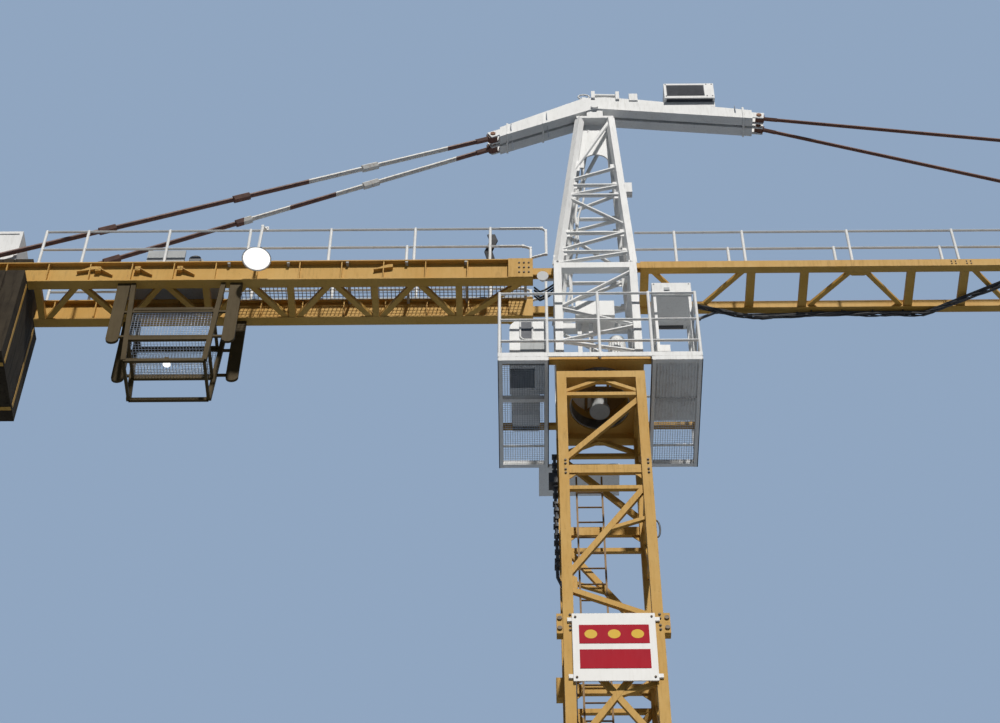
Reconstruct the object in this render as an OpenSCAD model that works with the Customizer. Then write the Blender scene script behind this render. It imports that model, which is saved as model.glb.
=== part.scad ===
// Tower crane: lattice mast, slewing head, two-chord jib, counter-jib with its counterweights
// Origin: middle of the mast foot, on the underside of the base plate. +X runs along the jib.

/* [Mast] */
// Width of the mast over its legs
mast_w = 1200; // [1000:10:1500]
// Width of a mast leg
leg = 130; // [100:5:150]
// Height of one mast section
section_h = 2910; // [2700:10:3200]
// Thickness of the base plate
base_t = 60; // [40:5:90]
// Width of the base plate
base_w = 1760; // [1740:10:2200]
// Radius of an anchor bolt hole in the base plate
anchor_r = 24; // [16:1:30]
// Height of the frame that ends each section
frame_h = 80; // [60:5:100]
// Thickness of the mast bracing
brace_t = 50; // [40:5:60]
// Width of the mast bracing
brace_w = 82; // [60:2:100]

/* [Slewing gear] */
// Height of the fixed support from the last mast section to the slewing ring
support_h = 2030; // [1900:10:2300]
// Outer radius of the slewing ring
ring_r = 520; // [480:10:560]
// Inner radius of the slewing ring
ring_bore_r = 400; // [340:10:430]
// Height of each half of the slewing ring
ring_h = 95; // [80:5:120]
// Running gap between the two halves of the slewing ring
ring_gap = 0.3; // [0.2:0.1:0.5]
// Height of the turning frame on the slewing ring
turn_h = 160; // [120:10:200]

/* [Tower head] */
// Height of the straight lower head
lower_head_h = 2250; // [2100:10:2500]
// Height of the tapered upper head
upper_head_h = 4850; // [4400:50:5200]
// Width of the head at its top, along the jib
top_w = 600; // [500:10:700]
// Width of the head at its top, across the jib
top_d = 300; // [260:10:360]
// Shift of the head's top towards the jib
top_shift = 145; // [100:5:200]
// Width of a head leg
head_leg = 110; // [90:5:120]
// Diameter of the head's bracing tubes
head_tube = 62; // [50:2:76]

/* [Apex rocker] */
// Reach of the rocker towards the counter-jib, from the head's middle
rocker_back = 1400; // [1250:50:1500]
// Reach of the rocker towards the jib, from the head's middle
rocker_front = 2700; // [2500:50:2800]
// Width of one rocker beam
rocker_beam = 150; // [120:5:170]
// Gap between the two rocker beams
rocker_split = 44; // [36:2:60]

/* [Jib] */
// Length of one bracing bay of the jib
bay = 1560; // [1400:10:1620]
// Bracing bays in one jib section
bays = 3; // [2:1:3]
// Width over the two chords
jib_w = 838; // [800:2:900]
// Width of a chord
chord_w = 112; // [100:2:130]
// Height of a chord
chord_h = 160; // [140:5:180]
// Start of the jib, from the mast's middle
jib_start = 670; // [660:5:720]

/* [Counter-jib] */
// Far end of the counter-jib, from the mast's middle
counter_end = 9400; // [9350:10:9600]
// Near end of the girders, from the mast's middle
counter_start = 900; // [860:10:960]
// Height of a girder
girder_h = 480; // [440:10:520]
// Width of a girder's flange
flange_w = 150; // [130:5:160]
// Thickness of a girder's web and flanges
plate_t = 16; // [12:1:20]
// Height of one counterweight block
weight_h = 2150; // [1900:50:2300]
// Thickness of one counterweight block
weight_t = 270; // [240:10:290]

/* [Platforms and rails] */
// Height of the platform rail over its floor
guard_h = 1500; // [1300:50:1600]
// Width of a platform floor
floor_w = 700; // [640:10:760]
// Diameter of the rail tubes
rail_d = 40; // [34:2:48]
// Height of the handrail over the jib chord
hand_h = 810; // [700:10:900]

/* [Hidden] */

ochre = "#b88638";
white = "#e8e8e4";
grey = "#8d8f90";
rust = "#6b4433";

sections = 6;
jib_sections = 6;
half = mast_w / 2;
leg_c = half - leg / 2;
mast_top = base_t + sections * section_h;
ring_z = mast_top + support_h;
turn_z = ring_z + 2 * ring_h + ring_gap;
head_z = turn_z + turn_h;
upper_z = head_z + lower_head_h;
apex_z = upper_z + upper_head_h;
head_c = half - head_leg / 2;

// Square bar between two points: w is its width upright or in its own plane, t is across
module bar(a, b, w, t) {
    d = b - a;
    l = norm(d);
    translate(a)
        rotate([0, acos(d.z / l), atan2(d.y, d.x)])
            linear_extrude(l) square([w, t], center = true);
}

// Tube with eight sides between two points
module tube(a, b, d_tube, sides = 8) {
    d = b - a;
    l = norm(d);
    translate(a)
        rotate([0, acos(d.z / l), atan2(d.y, d.x)])
            rotate(180 / sides) linear_extrude(l) circle(d = d_tube, $fn = sides);
}

// Tube through a row of points, with a small block inside each bend
module tube_path(points, d_tube, sides = 8) {
    for (i = [0 : len(points) - 2]) tube(points[i], points[i + 1], d_tube, sides);
    for (i = [1 : 1 : len(points) - 2])
        translate(points[i]) cube(d_tube * 0.9, center = true);
}

// Repeats its children on the four sides of the mast
module four_sides() {
    for (a = [0 : 90 : 270]) rotate(a) children();
}

/* Mast */

anchor_c = base_w / 2 - 90;

module base_plate() {
    color(ochre) difference() {
        translate([-base_w / 2, -base_w / 2, 0]) cube([base_w, base_w, base_t]);
        for (x = [-1, 1], y = [-1, 1])
            translate([x * anchor_c, y * anchor_c, -1])
                cylinder(r = anchor_r, h = base_t + 2, $fn = 48);
    }
}

lug_w = 84;
lug_h = 170;
brace_y = half - leg / 2;

// Heights in one section, from its lower end
tie_z = section_h - 370;
diag_hi = section_h - 285;
diag_lo = 870;
kick_lo = 650;
kick_end = frame_h + 40;

// Flat bracing of one side, drawn on the side that faces -Y
module mast_side(crossed) {
    y = -brace_y;
    for (z = [frame_h / 2, section_h - frame_h / 2])
        bar([-leg_c, y, z], [leg_c, y, z], frame_h, brace_t);
    bar([-leg_c, y, tie_z], [leg_c, y, tie_z], 70, brace_t);
    bar([leg_c, y, diag_hi], [-leg_c, y, diag_lo], brace_w, brace_t);
    bar([-leg_c, y, kick_lo], [leg_c, y, kick_end], brace_w, brace_t);
    mid_z = (diag_hi + diag_lo) / 2;
    bar([-6, y, mid_z - 10], [leg_c, y, mid_z - 120 + leg_c * 0.65], brace_w * 0.7, brace_t - 6);
    if (crossed) bar([-leg_c, y, diag_hi], [leg_c, y, diag_lo], brace_w, brace_t - 8);
    // Gusset where the two diagonals meet the leg
    translate([-leg_c + leg / 2 - 10, y + 9, (kick_lo + diag_lo) / 2])
        rotate([90, 0, 0]) linear_extrude(18)
            polygon([[0, -150], [70, -90], [70, 90], [0, 150]]);
}

// Housings of the joint pins, on the legs at one end of a section
module pin_lugs(z) {
    for (x = [-1, 1], y = [-1, 1])
        translate([x * (half + lug_w / 2 - 6), y * leg_c, z])
            cube([lug_w, leg - 30, lug_h], center = true);
}

module mast_section(number, crossed = false) {
    z = base_t + (number - 1) * section_h;
    color(ochre) translate([0, 0, z]) union() {
        for (x = [-1, 1], y = [-1, 1])
            translate([x * leg_c - leg / 2, y * leg_c - leg / 2, 0])
                cube([leg, leg, section_h]);
        four_sides() mast_side(crossed);
        pin_lugs(lug_h / 2);
        if (number < sections) pin_lugs(section_h - lug_h / 2);
    }
}

band_h = 140;

// Last, shorter piece of mast that carries the fixed half of the slewing ring
module slewing_support() {
    top = support_h - band_h;
    tie = support_h - 450;
    y = -brace_y;
    color(ochre) translate([0, 0, mast_top]) union() {
        for (x = [-1, 1], s = [-1, 1])
            translate([x * leg_c - leg / 2, s * leg_c - leg / 2, 0])
                cube([leg, leg, top + 20]);
        four_sides() {
            bar([-leg_c, y, frame_h / 2], [leg_c, y, frame_h / 2], frame_h, brace_t);
            bar([-leg_c, y, tie], [leg_c, y, tie], 70, brace_t);
            bar([leg_c, y, tie - 60], [-leg_c, y, 190], brace_w, brace_t);
            bar([leg_c, y, tie + 40], [0, y, top + 20], 60, brace_t);
            bar([-leg_c, y, tie + 40], [0, y, top + 20], 60, brace_t);
        }
        // Box frame with the ring seat: a plate with a round hole
        translate([0, 0, top]) difference() {
            translate([-half, -half, 0]) cube([mast_w, mast_w, band_h]);
            translate([0, 0, -1]) cylinder(r = ring_bore_r + 20, h = band_h + 2, $fn = 64);
            translate([0, 0, -1]) linear_extrude(band_h - 30) square(mast_w - 2 * leg, center = true);
        }
    }
}

// Fixed half of the slewing ring, with its gear teeth outside
module slewing_ring_lower() {
    teeth = 72;
    color(grey) translate([0, 0, ring_z]) difference() {
        union() {
            cylinder(r = ring_r - 24, h = ring_h, $fn = 96);
            cylinder(r = ring_r - 20, h = ring_h * 0.55, $fn = 96);
            for (i = [0 : teeth - 1])
                rotate(i * 360 / teeth)
                    translate([ring_r - 30, -12, 8]) cube([30, 24, ring_h * 0.4]);
        }
        translate([0, 0, -1]) cylinder(r = ring_bore_r, h = ring_h + 2, $fn = 96);
    }
}

module slewing_ring_upper() {
    color(grey) translate([0, 0, ring_z + ring_h + ring_gap]) difference() {
        union() {
            cylinder(r = ring_r - 40, h = ring_h, $fn = 96);
            translate([0, 0, ring_h / 2]) cylinder(r = ring_r, h = ring_h / 2, $fn = 96);
        }
        translate([0, 0, -1]) cylinder(r = ring_bore_r, h = ring_h + 2, $fn = 96);
    }
}

ladder_w = 340;
rung_step = 300;
ladder_y = half - leg - 120;

// Ladder inside the mast, held by arms at the section frames
module mast_ladder() {
    top = mast_top + 900;
    x = -half + leg + 60;
    first = base_t + 200;
    color(grey) union() {
        for (s = [0, 1])
            translate([x + 60 + s * ladder_w - 12, ladder_y - 20, first])
                cube([24, 40, top - first]);
        for (z = [first + 150 : rung_step : top - 100])
            tube([x + 60, ladder_y, z], [x + 60 + ladder_w, ladder_y, z], 24, 6);
        for (k = [1 : sections], s = [0, 1]) {
            z = base_t + k * section_h - frame_h / 2;
            translate([x + 60 + s * ladder_w - 8, ladder_y - 10, z - 25])
                cube([16, half - leg / 2 - brace_t / 2 - ladder_y + 10, 50]);
        }
    }
}

sign_w = 990;
sign_h = 1130;
// The board's top edge lies this far over the joint under the last section
sign_over = 120;
sign_z = base_t + (sections - 1) * section_h + sign_over - sign_h;

// Plain sign board on four clamps in front of the mast
module sign_plate() {
    y = -half;
    color(white) union() {
        translate([-sign_w / 2, y - 32, sign_z]) cube([sign_w, 12, sign_h]);
        for (x = [-1, 1], z = [90, sign_h - 90])
            translate([x * (sign_w / 2 + 5) - 50, y - 22, sign_z + z - 30]) cube([100, 22, 60]);
    }
}

/* Turning head */

module turning_frame() {
    color(ochre) translate([0, 0, turn_z]) difference() {
        union() {
            translate([-half, -half, 0]) cube([mast_w, mast_w, turn_h]);
            // Brackets that carry the two platforms
            for (y = [-half - 40, half - 100]) translate([-platform_out, y, 0])
                cube([2 * platform_out, 80, 70]);
        }
        translate([0, 0, -1]) cylinder(r = ring_bore_r, h = turn_h + 2, $fn = 64);
    }
}

// Zigzag of tubes between two leg lines that lean to the head's top
module zigzag(left, right, d_tube) {
    n = min(len(left), len(right));
    for (i = [0 : n - 1]) tube(left[i], right[i], d_tube);
    for (i = [0 : n - 2]) tube(right[i], left[i + 1], d_tube);
}

head_frame = 130;

// Heights of the lower head's bracing on its left and right legs
lower_left = [0.06, 0.18, 0.53] * lower_head_h;
lower_right = [0.05, 0.34, 0.94] * lower_head_h;

module head_lower() {
    c = head_c;
    color(white) translate([0, 0, head_z]) union() {
        for (x = [-1, 1], y = [-1, 1])
            translate([x * c - head_leg / 2, y * c - head_leg / 2, 0])
                cube([head_leg, head_leg, lower_head_h - 20]);
        four_sides() {
            bar([-c, -c, 45], [c, -c, 45], 90, 70);
            tube([-c, -c, lower_left[1]], [c, -c, lower_right[1]], head_tube);
            tube([-c, -c, lower_left[2]], [c, -c, lower_right[1]], head_tube);
            tube([-c, -c, lower_left[2]], [c, -c, lower_right[2]], head_tube);
            tube([-c, -c, lower_left[1]], [c, -c, lower_right[0] + 40], head_tube);
            bar([-c, -c, lower_head_h - head_frame / 2], [c, -c, lower_head_h - head_frame / 2],
                head_frame, head_leg);
        }
        for (x = [-1, 1], y = [-1, 1])
            translate([x * c, y * c, lower_head_h - head_frame / 2])
                cube([head_leg, head_leg, head_frame], center = true);
    }
}

// Point on a leg of the upper head: sx and sy choose the leg, z is its height over the head frame
function leg_at(sx, sy, z) =
    let (k = z / upper_head_h)
    [sx * head_c + k * (top_shift + sx * (top_w / 2 - head_leg / 2) - sx * head_c),
     sy * head_c + k * (sy * (top_d / 2 - head_leg / 2) - sy * head_c),
     z];

// Heights on the upper head where level tubes and slanting tubes meet the legs
levels = [400, 970, 2170, 2500];
slants = [[60, 380], [450, 1000], [2100, 1200], [2170, 2480], [2670, 3100], [2900, 4780]];

module head_face(sy) {
    for (z = levels) tube(leg_at(-1, sy, z), leg_at(1, sy, z), head_tube);
    for (s = slants) tube(leg_at(-1, sy, s[0]), leg_at(1, sy, s[1]), head_tube);
}

module head_flank(sx) {
    for (z = levels) tube(leg_at(sx, -1, z), leg_at(sx, 1, z), head_tube);
    steps = [60, 970, 2170, 3100, 4000, 4700];
    for (i = [0 : len(steps) - 2])
        tube(leg_at(sx, i % 2 == 0 ? -1 : 1, steps[i]),
             leg_at(sx, i % 2 == 0 ? 1 : -1, steps[i + 1]), head_tube);
}

module head_upper() {
    jz = jib_z - upper_z;
    color(white) translate([0, 0, upper_z]) union() {
        for (sx = [-1, 1], sy = [-1, 1]) {
            bar(leg_at(sx, sy, 15), leg_at(sx, sy, upper_head_h - 40), head_leg, head_leg);
            translate(leg_at(sx, sy, 0) - [head_leg / 2, head_leg / 2, 0])
                cube([head_leg, head_leg, 60]);
        }
        for (sy = [-1, 1]) head_face(sy);
        for (sx = [-1, 1]) head_flank(sx);
        // Arched plate between the legs under the rocker
        translate([0, 0, 3500]) rotate([90, 0, 0]) translate([0, 0, -10])
            linear_extrude(20) difference() {
                polygon([for (p = [[-1, 0], [1, 0], [1, 1300], [-1, 1300]])
                    [leg_at(p[0], 1, 3500 + p[1]).x, p[1]]]);
                translate([130, 200]) circle(r = 190, $fn = 40);
                translate([-60, -300]) square([380, 500]);
            }
        for (z = [3550, 4750], sx = [-1, 1]) tube(leg_at(sx, -1, z), leg_at(sx, 1, z), head_tube);
        // Crossbeams that carry the roots of the jib and of the counter-jib
        translate([half - 110, -head_c, jz]) cube([110, 2 * head_c, chord_h]);
        translate([-half, -head_c, jz]) cube([110, 2 * head_c, chord_h]);
        // Seat of the rocker
        translate([top_shift - top_w / 2, -top_d / 2, upper_head_h - 60])
            cube([top_w, top_d, 60]);
    }
}

seat_h = 200;
rocker_in = rocker_split / 2;
// Depth of the rocker at its two ends and at its bend
end_back_h = 280;
end_front_h = 250;
bend_h = 350;
drop_back = 850;
drop_front = 350;

// Side outline of a rocker beam, from the underside of its bend
module rocker_outline() {
    x0 = top_shift;
    polygon([[-rocker_back, -drop_back], [x0, 0], [rocker_front, -drop_front],
        [rocker_front, -drop_front + end_front_h], [x0 + 750, bend_h - 90],
        [x0 + 180, bend_h], [x0 - 180, bend_h - 30],
        [-rocker_back, -drop_back + end_back_h]]);
}

fork_len = 190;

fork_t = 20;
// Half the gap between the two plates of a fork, which the eye of a tie fills
back_eye = 54;
front_eye = 44;

module rocker_forks(x, z, slope, s, eye) {
    for (y = [-1, 1])
        translate([x, y * (rocker_in + rocker_beam / 2), z]) rotate([0, slope, 0])
            for (o = [-eye - fork_t, eye])
                translate([s > 0 ? -60 : -fork_len, o, -75])
                    cube([fork_len + 60, fork_t, 150]);
}

module apex_rocker() {
    color(white) translate([0, 0, apex_z + seat_h]) union() {
        for (s = [0, 1]) mirror([0, s, 0])
            translate([0, rocker_in + rocker_beam, 0]) rotate([90, 0, 0])
                linear_extrude(rocker_beam) rocker_outline();
        // Cross plates between the two beams
        for (x = [-950, -300, 900, 2300])
            translate([x - 45, -rocker_in - 20, rocker_mid(x) - 60])
                cube([90, rocker_split + 40, 120]);
        // Saddle on the head, with its cross pin
        translate([top_shift - 130, -top_d / 2, -seat_h]) cube([260, top_d, seat_h + 60]);
        translate([top_shift, 0, 40]) rotate([90, 0, 0])
            cylinder(d = 120, h = 2 * (rocker_in + rocker_beam) + 60, center = true, $fn = 32);
        rocker_forks(-rocker_back, -drop_back + end_back_h / 2, -29, -1, back_eye);
        rocker_forks(rocker_front, -drop_front + end_front_h / 2, 8, 1, front_eye);
        // Straps round the arms
        for (x = [-1280, -700, 2560])
            translate([x - 15, -rocker_in - rocker_beam - 12, rocker_mid(x) - 165])
                cube([30, 2 * (rocker_in + rocker_beam) + 24, 330]);
        // Rope sheave cover on top of the bend
        translate([top_shift - 20, -70, bend_h - 40]) cube([330, 140, 110]);
        translate([top_shift - 260, 0, bend_h - 30]) rotate([90, 0, 0])
            cylinder(r = 90, h = 120, center = true, $fn = 32);
    }
}

// Middle height of the rocker at x, from the underside of its bend
function rocker_mid(x) = x < top_shift
    ? (x - top_shift) * drop_back / (rocker_back + top_shift) + 150
    : -(x - top_shift) * drop_front / (rocker_front - top_shift) + 145;

box_x = 1300;
box_w = 820;
box_h = 460;
box_d = 420;

// Case on the jib arm of the rocker, open underneath towards the front
module apex_box() {
    z = apex_z + seat_h;
    arm = bend_h - 90;
    slope = (arm - (end_front_h - drop_front)) / (rocker_front - top_shift - 750);
    low = arm - (box_x - top_shift - 750) * slope;
    low_end = low - box_w * slope;
    color(white) translate([0, 0, z + 0.3]) union() {
        difference() {
            translate([box_x, -box_d / 2 - 40, low]) cube([box_w, box_d, box_h]);
            translate([box_x + 30, -box_d / 2 - 20, low - 1]) cube([box_w - 60, 200, 200]);
        }
        // Wedge that seats the case on the slope of the arm
        translate([box_x, rocker_in + rocker_beam, 0]) rotate([90, 0, 0])
            linear_extrude(2 * rocker_in + 2 * rocker_beam)
                polygon([[0, low], [box_w, low_end], [box_w, low + 1], [0, low + 1]]);
    }
}

/* Jib */

jib_z = upper_z + 112;
jib_y = jib_w / 2;
section_len = bay * bays;
first_post = 1550;

cross_w = 120;
diag_w = 64;
node_in = 64;

// One jib section: two chords, a cross member each half bay, and slanting members between
module jib_section(number) {
    x0 = jib_start + (number - 1) * section_len;
    c = jib_y - chord_w / 2;
    z = chord_h / 2;
    step = bay / 2;
    last = number == jib_sections;
    color(ochre) translate([x0, 0, jib_z]) union() {
        for (s = [-1, 1])
            translate([0, s * c - chord_w / 2, 0]) cube([section_len, chord_w, chord_h]);
        // Pairs of cross members with an open panel between them, and a slanting pair elsewhere
        for (k = [0 : 2 * bays - 1]) if (k % 3 != 1)
            bar([node_in + k * step, -c, z - 10], [node_in + k * step, c, z - 10], 90, cross_w);
        for (k = [1 : 3 : 2 * bays - 1]) {
            s = k % 2 == 0 ? -1 : 1;
            x = node_in + k * step;
            for (e = [-1, 1])
                bar([x + e * 40, s * c, z - 14], [x + e * (step - 70), -s * c, z - 14], 56, diag_w);
            // Gusset plate under the chord where the slanting pair meets
            translate([x, s * (jib_y - chord_w / 2), 16]) mirror([0, s > 0 ? 1 : 0, 0])
                linear_extrude(14) polygon([[-190, 0], [190, 0], [190, 62], [90, 125], [-90, 125], [-190, 62]]);
        }
        // Splice plates inside the chords, at the section's far end
        if (!last) for (s = [-1, 1])
            translate([section_len - 180, s * (jib_y - chord_w - 7) - 9, 30])
                cube([180, 18, chord_h - 60]);
        if (last) translate([section_len - 60, -c, 10]) cube([60, 2 * c, chord_h - 20]);
        // Root lugs that reach the head's crossbeam
        if (number == 1) for (s = [-1, 1], o = [-34, 34])
            translate([half - jib_start, s * c + o - 11, 20]) cube([jib_start - half + 20, 22, chord_h - 40]);
    }
}

rail_y = jib_y - 40;
mid_h = 370;

// Upright post of a rail
module post(x, y, z, h) {
    translate([x, y, z]) cylinder(d = rail_d + 4, h = h, $fn = 12);
}

// Handrail along one side: rails at two heights, with posts on the member that carries it
module handrail(xs, shorts, from, to, y, z, top, mid) {
    for (h = [top, mid]) tube([from, y, z + h], [to, y, z + h], rail_d, 6);
    for (x = xs) post(x, y, z, top + 22);
    for (x = shorts) post(x, y, z, mid + 22);
}

module jib_handrail() {
    z = jib_z + chord_h;
    far = jib_start + jib_sections * section_len;
    posts = [for (x = [jib_start + first_post : bay : far - 60]) x];
    color(white)
        handrail(concat([jib_start + 540], posts), [for (x = posts) x - 240],
            half + 20, far - 20, -rail_y, z, hand_h, mid_h);
}

outer_x = 26200;
inner_x = 12200;
tie_d = 58;
lug_top = 130;

// Foot of a tie: a pair of plates on a crossbeam over both chords
module tie_foot(x) {
    z = jib_z + chord_h;
    translate([x - 90, -jib_y + 20, z]) cube([180, jib_w - 40, 60]);
    for (o = [2 - front_eye - fork_t, front_eye - 2]) translate([x - 90, o, z + 50]) cube([180, fork_t, lug_top + 60]);
}

// Tie bar with couplings at even steps and an eye block at each end: eye is half its width
module tie_bar(a, b, d_tie, pieces, eye) {
    d = b - a;
    tube(a, b, d_tie);
    for (e = [[a, 1], [b, -1]])
        translate(e[0]) rotate([0, acos(d.z / norm(d)) - 90, 0])
            translate([e[1] > 0 ? -50 : -90, -eye, -d_tie * 0.8]) cube([140, 2 * eye, d_tie * 1.6]);
    for (i = [1 : 1 : pieces - 1])
        tube(a + d * i / pieces - d / norm(d) * 130, a + d * i / pieces + d / norm(d) * 130,
            d_tie * 1.7, 6);
    for (e = [[a, 1], [b, -1]])
        tube(e[0], e[0] + e[1] * d / norm(d) * 300, d_tie * 1.25, 6);
}

tie_off = rocker_in + rocker_beam / 2;
front_z = apex_z + seat_h - drop_front + end_front_h / 2;
back_z = apex_z + seat_h - drop_back + end_back_h / 2;

module jib_tie_outer() {
    color(rust) union() {
        tie_bar([rocker_front + 110, -tie_off, front_z - 15],
            [outer_x, 0, jib_z + chord_h + 50 + lug_top], tie_d, 5, front_eye);
        tie_foot(outer_x);
    }
}

module jib_tie_inner() {
    color(rust) union() {
        tie_bar([rocker_front + 110, tie_off, front_z - 15],
            [inner_x, 0, jib_z + chord_h + 50 + lug_top], tie_d, 2, front_eye);
        tie_foot(inner_x);
    }
}

cable_d = 46;

// Power cable bundle, clipped along the far chord and hanging slack near the head
module jib_cable() {
    z = jib_z - cable_d / 2;
    box_z = floor_z + stand_h;
    y = jib_y - 20;
    far = jib_start + jib_sections * section_len;
    color("#1c1c1e") tube_path([[box_in + box_l, 20, box_z + 150], [1500, 20, box_z + 150], [1800, 330, z - 60],
        [2250, y, z - 50], [3000, y, z - 25], [3700, y, z], [4900, y, z], [6400, -y + 30, z],
        [far - 400, -y + 30, z]], cable_d, 6);
}

/* Counter-jib */

girder_z = upper_z - 109;
girder_top = girder_z + girder_h;
counter_y = 416;

// I-section girder along X, its outer face at y = -counter_y
module girder() {
    l = counter_end - counter_start;
    translate([-counter_end, -counter_y, girder_z]) {
        cube([l, flange_w, plate_t + 6]);
        translate([0, 0, girder_h - plate_t - 6]) cube([l, flange_w, plate_t + 6]);
        translate([0, flange_w / 2 - plate_t / 2, 0]) cube([l, plate_t, girder_h]);
    }
}

stiff_first = 1240;
stiff_step = 615;
stiff_count = 13;

module counter_jib_frame() {
    c = counter_y - flange_w / 2;
    root = 360;
    z = girder_z + 60;
    nodes = [for (i = [0 : 5]) -1981 - i * 2 * stiff_step];
    color(ochre) union() {
        for (s = [0, 1]) mirror([0, s, 0]) {
            girder();
            for (i = [0 : stiff_count - 1])
                translate([-stiff_first - i * stiff_step - 8, -counter_y + 8, girder_z + 10])
                    cube([16, flange_w - 16, girder_h - 20]);
            // End plates with the root lugs
            translate([-counter_start - root, -counter_y - 12, girder_z + 4])
                cube([root, flange_w, girder_h - 8]);
            for (o = [-30, 30])
                translate([-counter_start - 60, -c + o - 12, girder_z + 120])
                    cube([counter_start - half + 60, 24, 160]);
            // Slanting lifting lugs on the web
            for (x = [-2950, -7300])
                translate([x, -counter_y + flange_w / 2, girder_z + 270]) rotate([90, 0, 0])
                    linear_extrude(flange_w / 2 - 20) polygon([[-280, 0], [0, 60], [0, 130], [-80, 120]]);
            // Lugs on top for the ties
            for (o = [-back_eye - fork_t, back_eye])
                translate([-tie_foot_x - 90, -c + o, girder_top - 10]) cube([180, fork_t, 200]);
        }
        // Level bracing between the lower flanges
        for (x = nodes) bar([x, -c, z], [x, c, z], 110, 96);
        for (i = [0 : len(nodes) - 2]) {
            x = nodes[i];
            mid = x - stiff_step;
            bar([x - 40, c, z - 10], [mid, -c, z - 10], 70, 80);
            bar([mid, -c, z - 10], [nodes[i + 1] + 40, c, z - 10], 70, 80);
        }
        bar([nodes[0] + 40, c, z - 10], [-counter_start - 120, -c, z - 10], 70, 80);
    }
}

tie_foot_x = 9250;
back_tie_d = 76;

module counter_tie(s) {
    c = counter_y - flange_w / 2;
    color(rust)
        mirror([0, s > 0 ? 1 : 0, 0])
            tie_bar([-tie_foot_x, -c, girder_top + 110], [-rocker_back - 110, -tie_off, back_z - 62],
                back_tie_d, 4, back_eye);
}

rail_end = 8180;
hoop_d = rail_d + 3;

module counter_handrail() {
    y = counter_y - 30;
    z = girder_top;
    posts = [1530, 2650, 3910, 5120, 6330, 7550];
    color(white) for (s = [-1, 1]) union() {
        handrail([for (x = posts) -x], [-2760], -rail_end, -1350, s * y, z, hand_h + 30, mid_h);
        post(-rail_end, s * y, z, hand_h + 52);
        // Rounded end hoop beside the head
        tube_path([[-1390, s * y, z + hand_h + 30], [-760, s * y, z + hand_h + 30],
            [-700, s * y, z + hand_h - 40], [-700, s * y, z + 160], [-930, s * y, z + 60]], hoop_d);
        tube_path([[-1390, s * y, z + mid_h], [-1040, s * y, z + mid_h],
            [-930, s * y, z + mid_h - 60], [-930, s * y, z]], hoop_d);
    }
}

weight_x = 8250;

// One concrete block, hung between the girders by its shoulders
module counterweight(number) {
    x = -weight_x - number * (weight_t + 8);
    inner = 2 * (counter_y - flange_w) - 10;
    color("#54504a") translate([x, 0, 0]) union() {
        translate([0, -620, girder_z - weight_h + 180]) cube([weight_t, 1240, weight_h - 190]);
        translate([0, -inner / 2, girder_z - 20]) cube([weight_t, inner, girder_h + 20]);
        translate([0, -counter_y, girder_top]) cube([weight_t, 2 * counter_y, 90]);
    }
}

tail_w = 530;

module tail_box() {
    color(white) translate([-weight_x - 3 * (weight_t + 8), -tail_w / 2, girder_top + 90])
        difference() {
            cube([500, tail_w, 960]);
            translate([50, -1, 60]) cube([400, 13, 840]);
        }
}

winch_y = counter_y - 60;

// Hoist winch on its frame between the girders
module hoist_winch() {
    z = girder_top;
    color(grey) union() {
        translate([-7000, -winch_y, z]) cube([1500, 2 * winch_y, 60]);
        for (y = [-290, 250]) translate([-6620, y, z + 50]) cube([560, 40, 420]);
        translate([-6340, 0, z + 300]) rotate([90, 0, 0]) cylinder(r = 150, h = 520, center = true, $fn = 48);
        for (y = [-1, 1]) translate([-6340, y * 215, z + 300]) rotate([90, 0, 0])
            cylinder(r = 230, h = 26, center = true, $fn = 48);
        translate([-5900, 0, z + 230]) rotate([90, 0, 0]) cylinder(r = 130, h = 460, center = true, $fn = 32);
        translate([-5990, -160, z + 50]) cube([180, 320, 180]);
    }
}

cage_x = [-6620, -5490];
cage_top = girder_z;

module service_cage() {
    ys = [-counter_y + 70, counter_y - 70];
    z = [for (d = [640, 1350, 1850]) cage_top - d];
    color(ochre) union() {
        for (y = ys) {
            // Long hangers with round lower ends, hung from the girders
            for (x = [-6846, -5210])
                translate([x, y + 20, cage_top - 1340]) rotate([90, 0, 0]) linear_extrude(40) {
                    translate([-90, 0]) square([180, 1340]);
                    circle(r = 90, $fn = 32);
                }
            for (x = cage_x) bar([x + (x < -6000 ? -90 : 90), y, cage_top - 1.8], [x, y, z[2]], 70, 50);
            for (h = z) bar([cage_x[0], y, h], [cage_x[1], y, h], 60, 40);
            // Mesh panel in its frame
            translate([cage_x[0], y - 5, z[1]]) cube([cage_x[1] - cage_x[0], 10, z[0] - z[1]]);
            for (h = [z[0] - 60, z[1] + 60])
                bar([-6846, y, h], [-5210, y, h], 40, 30);
        }
        for (x = cage_x, h = z) bar([x, ys[0], h], [x, ys[1], h], 60, 40);
    }
}

lamp_x = -4915;

// Floodlight with a round bowl, on an arm from the near handrail
module floodlight() {
    top = girder_top + hand_h + 30;
    y = -counter_y + 30;
    hang = girder_top - 160;
    out = y - 272;
    color("#f4f4f2") union() {
        translate([lamp_x - 20, y - 32 - rail_d / 2, top - 60]) cube([90, 32, 90]);
        tube_path([[lamp_x + 20, y - 36, top - 20], [lamp_x + 20, out, top - 300],
            [lamp_x, out, hang]], 44, 6);
        translate([lamp_x, out, hang - 150]) rotate_extrude($fn = 64)
            polygon([[0, 170], [60, 165], [130, 110], [215, 0], [205, 0], [122, 100], [55, 150], [0, 155]]);
        translate([lamp_x, out, hang - 60]) sphere(r = 62, $fn = 32);
    }
}

/* Platforms */

platform_in = 700;
platform_out = platform_in + floor_w;
platform_y0 = -710;
platform_y1 = 1190;
floor_z = turn_z;

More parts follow.
